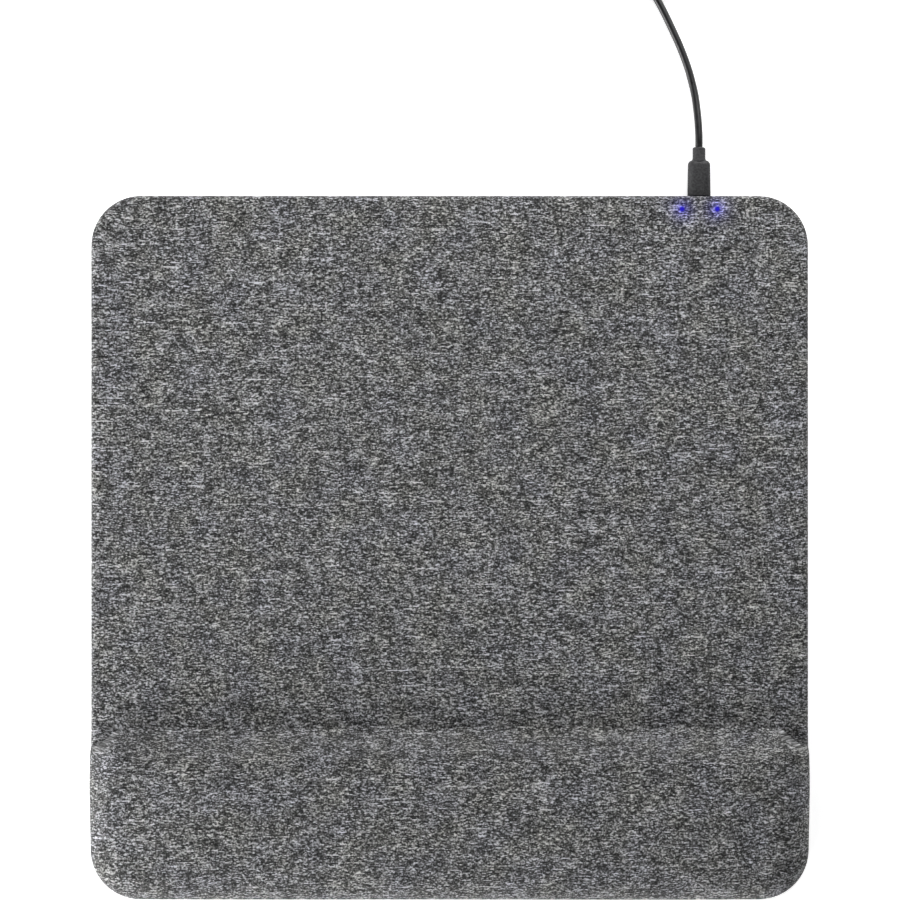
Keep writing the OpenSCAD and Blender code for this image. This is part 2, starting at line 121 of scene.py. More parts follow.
def stations(start: float, *spans: tuple[float, int]) -> list[float]:
    """Places along a line, evenly divided span by span.

    Args:
        start: The first place.
        spans: Each span's end and its number of steps.

    Returns:
        Every place from the start to the last span's end.
    """
    places = [start]
    for end, steps in spans:
        first = places[-1]
        places += [first + (end - first) * k / steps for k in range(1, steps + 1)]
    return places


def middle_of(node: str) -> Vector:
    """The middle of a frame node's box."""
    low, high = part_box(node)
    return (low + high) / 2


def coil_foot() -> Vector:
    """The point on the table under the middle of the stored coil."""
    middle = middle_of("cord_coil")
    return Vector((middle.x, middle.y, 0))


def grid_verts(mesh: Mesh, columns: int, rows: int) -> list[Vert]:
    """Adds a grid to a bmesh and returns its vertices, row by row."""
    return bmesh.ops.create_grid(mesh, x_segments=columns - 1, y_segments=rows - 1, size=1.0)["verts"]


def verts_in(geom: Sequence[object]) -> list[Vert]:
    """The vertices among an operator's results."""
    return [item for item in geom if isinstance(item, Vert)]


def make_object(name: str, mesh: Mesh, smooth: bool = True) -> Piece:
    """Writes a bmesh to a new object at the origin and frees it.

    Args:
        name: The piece's name.
        mesh: The finished bmesh.
        smooth: Whether its faces are shaded smooth.

    Returns:
        The new object, linked to the scene.
    """
    data = bpy.data.meshes.new(name)
    mesh.to_mesh(data)
    mesh.free()
    data.polygons.foreach_set("use_smooth", [smooth] * len(data.polygons))
    made = bpy.data.objects.new(name, data)
    bpy.context.scene.collection.objects.link(made)
    return made


def bevel(mesh: Mesh, geom: Sequence[object], width: float, segments: int, affect: str = "EDGES") -> None:
    """Rounds a bmesh's edges, or the corners of a flat outline where affect is VERTICES."""
    bmesh.ops.bevel(mesh, geom=list(geom), offset=width, offset_type="OFFSET", segments=segments,
                    profile=0.5, affect=affect, material=-1, clamp_overlap=affect == "EDGES")


def edges_at(mesh: Mesh, axis: int, place: float) -> list[Edge]:
    """The edges that lie in one plane across an axis."""
    return [e for e in mesh.edges if all(abs(v.co[axis] - place) < TINY for v in e.verts)]


def edges_along(mesh: Mesh, length: float) -> list[Edge]:
    """The edges that run along Y for more than a length."""
    return [e for e in mesh.edges if abs((e.verts[0].co - e.verts[1].co).y) > length]


def spin_profile(name: str, profile: Sequence[tuple[float, float]], place: Matrix, steps: int = 32) -> Piece:
    """Turns an outline round the Y axis into a closed round piece.

    Args:
        name: The piece's name.
        profile: (distance from the axis, distance along it) pairs that start and end on the axis.
        place: Where the axis's start and direction go.
        steps: Faces around.

    Returns:
        The new object.
    """
    mesh = bmesh.new()
    points = [mesh.verts.new((r, y, 0)) for r, y in profile]
    edges = [mesh.edges.new(pair) for pair in zip(points, points[1:])]
    bmesh.ops.spin(mesh, geom=points + edges, cent=(0, 0, 0), axis=(0, 1, 0), dvec=(0, 0, 0),
                   angle=2 * math.pi, steps=steps, use_merge=True, use_duplicate=False)
    bmesh.ops.remove_doubles(mesh, verts=mesh.verts, dist=0.005 * MM)
    bmesh.ops.recalc_face_normals(mesh, faces=mesh.faces)
    mesh.transform(place)
    return make_object(name, mesh)


def add_modifier(piece: Piece, kind: str, **settings: object) -> bpy.types.Modifier:
    """Adds a modifier with its settings to a piece."""
    made = piece.modifiers.new(kind.title(), kind)
    for key, value in settings.items():
        setattr(made, key, value)
    return made


def apply_modifiers(piece: Piece) -> None:
    """Writes a piece's evaluated mesh back to it and drops its modifiers."""
    evaluated = piece.evaluated_get(bpy.context.evaluated_depsgraph_get())
    data = bpy.data.meshes.new_from_object(evaluated, preserve_all_data_layers=True,
                                           depsgraph=bpy.context.evaluated_depsgraph_get())
    piece.modifiers.clear()
    piece.data = data


def dress(piece: Piece, finish: "Finish") -> None:
    """Gives a piece one finish all over."""
    piece.data.materials.clear()
    piece.data.materials.append(finish.material())


def declare(piece: Piece, finish: "Finish", body: Body, slot: str, *nodes: str) -> None:
    """Dresses a piece, parents it to its body and hides the frame's nodes that it replaces.

    Args:
        piece: The finished piece.
        finish: What it is made of.
        body: The body that it moves with.
        slot: Not used.
        nodes: The frame's nodes that it replaces.
    """
    dress(piece, finish)
    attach(piece, body.value)
    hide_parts(*nodes)


# ---------------------------------------------------------------- finishes


class Graph:
    """A material's node tree, with short calls for the nodes that the finishes use."""

    def __init__(self, name: str) -> None:
        """Starts a material with one Principled shader."""
        self.made = bpy.data.materials.new(name)
        self.made.use_nodes = True
        self.tree = self.made.node_tree
        self.shader = self.tree.nodes["Principled BSDF"]

    def node(self, kind: str, **settings: object) -> bpy.types.Node:
        """Adds a node of a kind and sets its properties."""
        made = self.tree.nodes.new("ShaderNode" + kind)
        for key, value in settings.items():
            setattr(made, key, value)
        return made

    def feed(self, socket: Socket, value: object) -> None:
        """Links a socket to another one, or sets its value."""
        if isinstance(value, Socket):
            self.tree.links.new(value, socket)
        else:
            socket.default_value = value

    def set(self, **values: object) -> None:
        """Feeds the shader's sockets, named with underscores for spaces."""
        for key, value in values.items():
            self.feed(self.shader.inputs[key.replace("_", " ")], value)

    def math(self, operation: str, *values: object) -> Socket:
        """Result of a Math node on two or three numbers."""
        made = self.node("Math", operation=operation)
        for socket, value in zip(made.inputs, values):
            self.feed(socket, value)
        return made.outputs[0]

    plus = partialmethod(math, "ADD")
    minus = partialmethod(math, "SUBTRACT")
    times = partialmethod(math, "MULTIPLY")
    times_plus = partialmethod(math, "MULTIPLY_ADD")

    def vector(self, operation: str, *values: object) -> Socket:
        """Vector result of a Vector Math node."""
        made = self.node("VectorMath", operation=operation)
        for socket, value in zip(made.inputs, values):
            self.feed(socket, value)
        return made.outputs[1 if operation in ("LENGTH", "DISTANCE") else 0]

    def combine(self, x: object = 0.0, y: object = 0.0, z: object = 0.0) -> Socket:
        """A vector from three numbers."""
        made = self.node("CombineXYZ")
        for socket, value in zip(made.inputs, (x, y, z)):
            self.feed(socket, value)
        return made.outputs[0]

    def separate(self, vector: Socket) -> bpy.types.bpy_prop_collection:
        """The three numbers of a vector."""
        made = self.node("SeparateXYZ")
        self.feed(made.inputs[0], vector)
        return made.outputs

    def place(self) -> Socket:
        """Object coordinates, in metres."""
        return self.node("TexCoord").outputs["Object"]

    def cut(self) -> Socket:
        """The piece's own flat cut coordinates, in metres."""
        return self.node("UVMap", uv_map="cut").outputs[0]

    def noise(self, vector: Socket, scale: float, detail: float = 2.0,
              rough: float = 0.5) -> Socket:
        """Soft noise from 0 to 1.

        Args:
            vector: Where it is read.
            scale: Waves for each metre.
            detail: Finer waves added.
            rough: How strong the finer waves are.

        Returns:
            The noise value's socket.
        """
        made = self.node("TexNoise", noise_dimensions="3D")
        self.feed(made.inputs["Vector"], vector)
        made.inputs["Scale"].default_value = scale
        made.inputs["Detail"].default_value = detail
        made.inputs["Roughness"].default_value = rough
        return made.outputs["Fac"]

    def cells(self, vector: Socket, scale: float) -> Socket:
        """Distance to the nearest of scattered points."""
        made = self.node("TexVoronoi", feature="F1")
        self.feed(made.inputs["Vector"], vector)
        made.inputs["Scale"].default_value = scale
        return made.outputs["Distance"]

    def ramp(self, value: Socket, *stops: tuple[float, Colour]) -> Socket:
        """Colour that runs through the stops as the value goes from 0 to 1."""
        made = self.node("ValToRGB")
        self.feed(made.inputs[0], value)
        keys = made.color_ramp.elements
        while len(keys) < len(stops):
            keys.new(0.5)
        for key, (position, colour) in zip(keys, stops):
            key.position = position
            key.color = linear(colour)
        return made.outputs["Color"]

    def mix(self, share: object, a: object, b: object, blend: str = "MIX") -> Socket:
        """Mixes two colours by a share."""
        made = self.node("Mix", data_type="RGBA", blend_type=blend)
        share_at, first_at, second_at, colour_at = 0, 6, 7, 2
        for index, value in ((share_at, share), (first_at, a), (second_at, b)):
            self.feed(made.inputs[index], value)
        return made.outputs[colour_at]

    def span(self, value: Socket, low: float, high: float, to_low: float = 0.0,
             to_high: float = 1.0) -> Socket:
        """Maps a value's range to another one, held at its ends."""
        made = self.node("MapRange", clamp=True)
        for socket, number in zip(made.inputs, (value, low, high, to_low, to_high)):
            self.feed(socket, number)
        return made.outputs[0]

    def bump(self, height: Socket, depth: float, strength: float = 1.0) -> None:
        """Feeds the shader a bump of a depth in metres."""
        made = self.node("Bump")
        made.inputs["Strength"].default_value = strength
        made.inputs["Distance"].default_value = depth
        self.feed(made.inputs["Height"], height)
        self.set(Normal=made.outputs[0])


@dataclass(frozen=True)
class Finish:
    """A finish by name. Each kind below builds its own nodes."""

    name: str

    def material(self) -> bpy.types.Material:
        """The finish's material, built once."""
        found = bpy.data.materials.get(self.name + "_finish")
        if found is None:
            graph = Graph(self.name + "_finish")
            self.build(graph)
            found = graph.made
        return found

    def build(self, graph: Graph) -> None:
        """Adds the finish's nodes to a graph."""
        raise NotImplementedError


HEATHER = ((0.0, (0.08, 0.08, 0.08)), (0.3, (0.237, 0.237, 0.237)), (0.5, (0.418, 0.418, 0.42)),
           (0.75, (0.70, 0.70, 0.708)), (1.0, (0.89, 0.89, 0.905)))


@dataclass(frozen=True)
class Knit(Finish):
    """Heather jersey: rows of small stitches in yarn that runs from dark to light grey.

    Two lights under it glow blue through the yarn. The tone is a sum of waves: yarns are
    (length along the row, seed, detail, gain), mottles are (waves for each metre, detail, gain)
    and streaks are (length, seed, from, to, gain), which only lighten.
    """

    lights: tuple[Vector, ...] = ()
    course: float = 0.46 * MM
    wale: float = 0.62 * MM
    sway: float = 2.4
    ground: float = 0.456
    yarns: tuple[tuple[float, ...], ...] = ((1.75 * MM, 0.0, 2.0, 2.2), (6.0 * MM, 40.0, 1.0, 0.85))
    mottles: tuple[tuple[float, ...], ...] = ((1180.0, 1.0, 1.15), (170.0, 2.0, 0.45))
    streaks: tuple[tuple[float, ...], ...] = ((11.0 * MM, 80.0, 0.72, 0.84, 0.38),
                                              (32.0 * MM, 120.0, 0.80, 0.84, 0.35))
    glow_run: float = 2.2 * MM
    lamp_r: tuple[float, float] = (0.75 * MM, 1.35 * MM)

    def build(self, graph: Graph) -> None:
        """Adds the yarn's colours, the stitches and the glow."""
        cut = graph.cut()
        wave = graph.noise(cut, 170.0, 1.0)
        across = graph.separate(cut)
        run = across[0]
        row_place = graph.times_plus(wave, self.sway, graph.math("DIVIDE", across[1], self.course))
        column = graph.math("FRACT", graph.math("DIVIDE", run, self.wale))
        leg = graph.math("ABSOLUTE", graph.minus(column, 0.5))
        stitched = graph.plus(row_place, leg)
        row = graph.math("FLOOR", row_place)
        within = graph.math("FRACT", stitched)

        def yarn(length: float, seed: float, detail: float) -> Socket:
            """Noise that runs along each row on its own, in waves of a length."""
            row_apart = 3.71
            along = graph.combine(graph.times(run, 1 / length), graph.times(row, row_apart), seed)
            return graph.noise(along, 1.0, detail, 0.55)

        def add(value: object, wave: Socket, gain: float) -> Socket:
            """Adds a wave round its middle to a tone."""
            return graph.plus(value, graph.times(graph.minus(wave, 0.5), gain))

        tone = self.ground
        for length, seed, detail, gain in self.yarns:
            tone = add(tone, yarn(length, seed, detail), gain)
        for scale, detail, gain in self.mottles:
            tone = add(tone, graph.noise(cut, scale, detail), gain)
        for length, seed, low, high, gain in self.streaks:
            tone = graph.plus(tone, graph.span(yarn(length, seed, 0.0), low, high, 0.0, gain))
        colour = graph.ramp(tone, *HEATHER)
        tint = graph.ramp(graph.noise(cut, 60.0, 3.0), (0.35, (1.0, 1.0, 0.975)), (0.65, (0.975, 0.98, 1.0)))
        colour = graph.mix(1.0, colour, tint, "MULTIPLY")

        flat = graph.vector("MULTIPLY", graph.place(), (1.0, 1.0, 0.0))
        near = None
        for light in self.lights:
            away = graph.vector("DISTANCE", flat, (light.x, light.y, 0.0))
            near = away if near is None else graph.math("MINIMUM", near, away)
        halo = graph.math("EXPONENT", graph.math("DIVIDE", near, -self.glow_run))
        core = graph.span(near, *self.lamp_r, 1.0, 0.0)
        lit_yarn = graph.times(halo, graph.plus(tone, 0.12))
        # Painted light: round the two lights the yarn's base colour is painted blue, and deep blue over each
        # chip, as their light falling on it.
        colour = graph.mix(halo, colour, graph.mix(1.0, colour, linear((0.62, 0.62, 1.0)), "MULTIPLY"))
        colour = graph.mix(core, colour, linear((0.05, 0.02, 0.4)))
        glow = graph.mix(core, linear((0.40, 0.36, 1.0)), linear((0.12, 0.02, 1.0)))
        strength = graph.math("MAXIMUM", graph.times(lit_yarn, 0.75), graph.times(core, 0.42))
        graph.set(Base_Color=colour, Emission_Color=glow, Emission_Strength=strength)

        loop = graph.math("SINE", graph.times(within, math.pi))
        gap = graph.span(leg, 0.0, 0.12, 0.55, 1.0)
        fuzz = graph.noise(cut, 5200.0, 2.0)
        relief = graph.times_plus(fuzz, 0.5, graph.times(loop, gap))
        graph.bump(graph.times_plus(tone, 0.5, relief), 0.22 * MM, 0.8)
        graph.set(Roughness=0.92, Sheen_Weight=0.12, Sheen_Roughness=0.5, Specular_IOR_Level=0.25)


@dataclass(frozen=True)
class Moulded(Finish):
    """Moulded plastic with a fine spark-eroded texture and slightly uneven gloss."""

    colour: Colour = (0.2, 0.2, 0.2)
    rough: float = 0.55
    grain: float = 0.25 * MM
    depth: float = 0.02 * MM
    coat: float = 0.0
    shine: float = 0.5
    mottle: float = 5.5 * MM
    uneven: float = 0.13

    def build(self, graph: Graph) -> None:
        """Adds the mottled colour, the gloss and the grain."""
        place = graph.place()
        mottle = graph.noise(place, 1 / self.mottle, 4.0)
        deep, pale = shade(self.colour, 1 - self.uneven), shade(self.colour, 1 + self.uneven, 0.012)
        graph.set(Base_Color=graph.ramp(mottle, (0.35, deep), (0.65, pale)),
                  Roughness=graph.span(graph.noise(place, 900.0, 2.0), 0.3, 0.7,
                                       self.rough - 0.06, min(1.0, self.rough + 0.08)),
                  Coat_Weight=self.coat, Coat_Roughness=0.25, Specular_IOR_Level=self.shine)
        graph.bump(graph.noise(place, 1 / self.grain, 3.0, 0.6), self.depth, 0.8)


@dataclass(frozen=True)
class Metal(Finish):
    """Plated or rolled metal with fine lines along one axis and small scuffs."""

    colour: Colour = (0.75, 0.76, 0.78)
    rough: float = 0.28
    along: Vector = field(default_factory=lambda: Vector((0.06, 1.0, 1.0)))

    def build(self, graph: Graph) -> None:
        """Adds the lines, the scuffs and the metal's colour."""
        place = graph.place()
        lines = graph.noise(graph.vector("MULTIPLY", place, tuple(self.along)), 9000.0, 3.0)
        scuff = graph.noise(place, 700.0, 4.0, 0.7)
        graph.set(Base_Color=graph.ramp(scuff, (0.35, shade(self.colour, 0.86)), (0.6, self.colour)),
                  Metallic=1.0, Roughness=graph.span(graph.times_plus(scuff, 0.5, graph.times(lines, 0.5)),
                                       0.3, 0.7, self.rough - 0.08, self.rough + 0.14))
        graph.bump(lines, 0.006 * MM, 0.6)


@dataclass(frozen=True)
class Foam(Finish):
    """Open-cell foam: small pores with thin bright walls."""

    colour: Colour = (0.85, 0.82, 0.72)
    pore: float = 0.7 * MM

    def build(self, graph: Graph) -> None:
        """Adds the pores and a slight uneven tone."""
        place = graph.place()
        pores = graph.cells(place, 1 / self.pore)
        tone = graph.times_plus(graph.noise(place, 60.0, 3.0), 0.4, pores)
        graph.set(Base_Color=graph.ramp(tone, (0.25, shade(self.colour, 0.72)), (0.75, self.colour)),
                  Roughness=0.95)
        graph.bump(pores, 0.25 * MM, 0.9)


@dataclass(frozen=True)
class GripRubber(Finish):
    """Natural rubber with a rolled pattern of fine crossing ribs."""

    colour: Colour = (0.13, 0.13, 0.135)
    pitch: float = 2.2 * MM

    def build(self, graph: Graph) -> None:
        """Adds the crossing ribs, their worn crests and dust."""
        place = graph.place()
        axes = graph.separate(place)
        turn = 2 * math.pi / self.pitch
        rising = graph.math("SINE", graph.times(graph.plus(axes[0], axes[1]), turn))
        falling = graph.math("SINE", graph.times(graph.minus(axes[0], axes[1]), turn))
        ribs = graph.math("MAXIMUM", rising, falling)
        dust = graph.noise(place, 45.0, 5.0, 0.65)
        tone = graph.times_plus(ribs, 0.12, dust)
        graph.set(Base_Color=graph.ramp(tone, (0.35, self.colour), (0.75, shade(self.colour, 1.5))),
                  Roughness=graph.span(ribs, -0.5, 1.0, 0.92, 0.72))
        grit = graph.times_plus(graph.noise(place, 4000.0, 2.0), 0.25, graph.times(ribs, 0.5))
        graph.bump(grit, 0.25 * MM, 0.9)


@dataclass(frozen=True)
class Vinyl(Finish):
    """Extruded cable jacket: satin, with faint drawing lines and handling marks."""

    colour: Colour = (0.09, 0.09, 0.095)

    def build(self, graph: Graph) -> None:
        """Adds the jacket's colour, gloss and faint waviness."""
        place = graph.place()
        marks = graph.noise(place, 420.0, 4.0, 0.6)
        graph.set(Base_Color=graph.ramp(marks, (0.35, self.colour), (0.7, shade(self.colour, 1.25, 0.01))),
                  Roughness=graph.span(marks, 0.3, 0.7, 0.26, 0.4), Specular_IOR_Level=0.62)
        graph.bump(graph.noise(place, 1500.0, 2.0), 0.012 * MM, 0.5)


@dataclass(frozen=True)
class HookTape(Finish):
    """Hook-and-loop tape: dense small loops on a woven backing."""

    colour: Colour = (0.14, 0.14, 0.145)

    def build(self, graph: Graph) -> None:
        """Adds the loops and the fluff between them."""
        place = graph.place()
        loops = graph.cells(place, 1 / (0.55 * MM))
        fluff = graph.noise(place, 3000.0, 3.0, 0.7)
        tone = graph.times_plus(fluff, 0.7, graph.times(loops, 0.5))
        graph.set(Base_Color=graph.ramp(tone, (0.3, self.colour), (0.8, shade(self.colour, 1.9))),
                  Roughness=0.97, Sheen_Weight=0.4, Sheen_Roughness=0.4)
        graph.bump(tone, 0.3 * MM, 1.0)


@dataclass(frozen=True)
class Strands(Finish):
    """Varnished copper wire laid in fine strands round a centre."""

    centre: Vector = field(default_factory=lambda: Vector((0, 0, 0)))
    colour: Colour = (0.80, 0.46, 0.26)

    def build(self, graph: Graph) -> None:
        """Adds strands that slant across the wound wire."""
        place = graph.place()
        out = graph.vector("LENGTH", graph.vector("SUBTRACT", place, tuple(self.centre)))
        axes = graph.separate(place)
        slant = graph.plus(graph.times(out, 9000.0),
                           graph.times(graph.plus(axes[0], axes[1]), 5200.0))
        strands = graph.math("SINE", slant)
        marks = graph.noise(place, 800.0, 3.0)
        tone = graph.times_plus(strands, 0.18, marks)
        graph.set(Base_Color=graph.ramp(tone, (0.3, shade(self.colour, 0.5)), (0.62, self.colour)),
                  Metallic=0.85, Roughness=graph.span(marks, 0.3, 0.7, 0.28, 0.42), Coat_Weight=0.4,
                  Coat_Roughness=0.2)
        graph.bump(strands, 0.04 * MM, 0.8)


@dataclass(frozen=True)
class SolderMask(Finish):
    """Green circuit board lacquer over raised copper tracks."""

    colour: Colour = (0.06, 0.30, 0.16)

    def build(self, graph: Graph) -> None:
        """Adds the tracks and the lacquer's shine."""
        place = graph.place()
        tracks = graph.node("TexBrick")
        graph.feed(tracks.inputs["Vector"], place)
        for key, value in (("Scale", 260.0), ("Mortar Size", 0.05), ("Mortar Smooth", 0.1), ("Bias", 0.0)):
            tracks.inputs[key].default_value = value
        line = tracks.outputs["Fac"]
        mottle = graph.noise(place, 300.0, 3.0)
        pale = linear(shade(self.colour, 1.6, 0.03))
        base = graph.mix(line, linear(self.colour), pale)
        graph.set(Base_Color=graph.mix(graph.span(mottle, 0.4, 0.7, 0.0, 0.25), base, pale),
                  Roughness=graph.span(mottle, 0.3, 0.7, 0.22, 0.38), Coat_Weight=0.3, Coat_Roughness=0.15)
        graph.bump(line, 0.03 * MM, 0.6)


@dataclass(frozen=True)
class Clear(Finish):
    """Clear moulded acrylic, a little frosted."""

    colour: Colour = (0.88, 0.92, 1.0)

    def build(self, graph: Graph) -> None:
        """Adds the clear body and its frosting."""
        frost = graph.noise(graph.place(), 1200.0, 3.0)
        graph.set(Base_Color=graph.ramp(frost, (0.3, shade(self.colour, 0.94)), (0.7, self.colour)),
                  Transmission_Weight=0.9, IOR=1.49, Roughness=graph.span(frost, 0.3, 0.7, 0.12, 0.3))


@dataclass(frozen=True)
class Lamp(Finish):
    """Light chip: a pale lens lit blue from inside."""

    colour: Colour = (0.16, 0.22, 1.0)

    def build(self, graph: Graph) -> None:
        """Adds the lens and its light."""
        glow = graph.noise(graph.place(), 1500.0, 2.0)
        graph.set(Base_Color=linear((0.85, 0.88, 0.95)), Roughness=0.3,
                  Emission_Color=graph.ramp(glow, (0.3, self.colour), (0.7, (0.35, 0.45, 1.0))),
                  Emission_Strength=2.5)


# ---------------------------------------------------------------- the cover and what it is stretched over


@dataclass
class PadForm:
    """Outer form of the covered pad: a flat area that runs into a padded rest along its front.

    Lengths are metres. Heights are above the table. A name that ends in run is the distance over
    which something rises or fades, and one in power or round is the bend of that rise. The names
    with end belong to the crease's turned ends, and those with swell to the rest's bulging sides.
    """

    half_w: float
    half_d: float
    corner_r: float
    flat_z: float
    rest_z: float
    rest_y: float
    hem_z: float
    edge_r: float = 2.5 * MM
    foot_r: float = 1.0 * MM
    hem_w: float = 13.0 * MM
    side_z: float = 10.0 * MM
    end_run: float = 20.0 * MM
    rear_run: float = 17.5 * MM
    rear_power: float = 0.85
    dip: float = 0.7 * MM
    dip_run: float = 16.0 * MM
    crease_turn: float = 13.5 * MM
    crease_drop: float = 10.5 * MM
    end_slope: float = 0.4
    end_dip: float = 1.3 * MM
    end_dip_run: float = 8.0 * MM
    crown: float = 0.5 * MM
    crest_ahead: float = 2 * MM
    swell: float = 0.45 * MM
    swell_rise: float = 22 * MM
    swell_back: float = 24 * MM
    swell_fall: float = 30 * MM
    crease_power: float = 1.1
    turn_lead: float = 4 * MM
    turn_run: float = 6 * MM
    rear_round: float = 1.5
    side_round: float = 2.1
    side_blend: float = 1.4 * MM

    @classmethod
    def from_frame(cls) -> "PadForm":
        """Reads the form's sizes from the frame's boxes."""
        low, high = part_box("fabric_cover")
        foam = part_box("wrist_foam")
        return cls(half_w=high.x, half_d=high.y, corner_r=21 * MM, flat_z=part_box("surface_foam")[1].z + CLOTH,
                   rest_z=high.z, rest_y=foam[1].y + CLOTH, hem_z=low.z)

    def crease(self, x: float) -> float:
        """Y of the crease between flat area and rest: straight, then turned forward at both ends."""
        over = max(0.0, abs(x) - (self.half_w - self.crease_turn)) / self.crease_turn
        return self.rest_y - self.crease_drop * over ** self.crease_power

    def from_crease(self, x: float, y: float) -> float:
        """How far a point is behind the crease, square to it, and below 0 in front of it."""
        step = 0.1 * MM
        lean = (self.crease(x) - self.crease(abs(x) + step)) / step
        return (y - self.crease(x)) / math.hypot(1.0, lean)

    def turned(self, x: float) -> float:
        """How far the crease has turned forward at x: 0 along the middle and 1 at both ends."""
        return ease((abs(x) - (self.half_w - self.crease_turn - self.turn_lead)) / self.turn_run)

    def inside(self, x: float, y: float) -> float:
        """How far a point is in from the pad's rounded outline."""
        over_x = abs(x) - (self.half_w - self.corner_r)
        over_y = abs(y) - (self.half_d - self.corner_r)
        if over_x > 0 and over_y > 0:
            return self.corner_r - math.hypot(over_x, over_y)
        return self.corner_r - max(over_x, over_y)

    def outward(self, x: float, y: float) -> Vector:
        """Direction out of the pad's outline nearest to a point."""
        over_x = abs(x) - (self.half_w - self.corner_r)
        over_y = abs(y) - (self.half_d - self.corner_r)
        if over_x > 0 and over_y > 0:
            return Vector((math.copysign(over_x, x), math.copysign(over_y, y), 0)).normalized()
        if over_x > over_y:
            return Vector((math.copysign(1, x), 0, 0))
        return Vector((0, math.copysign(1, y), 0))

    def into_corner(self, x: float, y: float, inset: float) -> tuple[float, float]:
        """Moves a square grid's point into the round corner of an outline inset from the pad's."""
        r = self.corner_r - inset
        a = (abs(x) - (self.half_w - self.corner_r)) / r
        b = (abs(y) - (self.half_d - self.corner_r)) / r
        if a <= 0 or b <= 0:
            return x, y
        pull = max(a, b) / math.hypot(a, b)
        return (math.copysign(self.half_w - self.corner_r + a * pull * r, x),
                math.copysign(self.half_d - self.corner_r + b * pull * r, y))

    def rest_top(self, x: float, y: float) -> float:
        """Height of the rest's surface at a point in front of the crease."""
        front = max(0.0, -self.from_crease(x, y))
        turned = self.turned(x)
        along = front / (self.rear_run * (1 + (self.end_slope - 1) * turned))
        share = ease(along ** self.rear_power) * (1 - turned) + round_rise(along, self.rear_round) * turned
        crest = (self.rest_y - self.half_d) / 2 - self.crest_ahead
        half = (self.rest_y + self.half_d) / 2
        top = self.rest_z - self.crown * min(1.5, ((y - crest) / half) ** 2)
        foot = self.behind_top(x, self.crease(x))
        rear = foot + (top - foot) * share
        edge = self.side_z + (top - self.side_z) * self.side_rise(self.inside(x, y))
        return max(foot, soft_min(rear, edge, self.side_blend))

    def side_rise(self, inset: float) -> float:
        """Share of the rest's height at a distance in from the outline."""
        return round_rise(inset / self.end_run, self.side_round)

    def behind_top(self, x: float, y: float) -> float:
        """Height of the flat area at a point behind the crease, where the cloth is drawn down to it."""
        turned = self.turned(abs(x) - self.turn_lead)
        run = self.dip_run + (self.end_dip_run - self.dip_run) * turned
        dip = self.dip + (self.end_dip - self.dip) * turned
        return self.flat_z - dip * (1 - min(1.0, max(0.0, self.from_crease(x, y)) / run)) ** 2

    def bulge(self, y: float) -> float:
        """How far the rest's ends stand out of the outline at y: most just in front of the crease."""
        back = self.rest_y - y
        fall = ease((back - self.swell_back) / self.swell_fall)
        return self.swell * ease(back / self.swell_rise) * (1 - fall)

    def top(self, x: float, y: float) -> float:
        """Height of the pad's upper surface inside its rounded top edge."""
        if y < self.crease(x) - 1e-7:
            return self.rest_top(x, y)
        return self.behind_top(x, y)


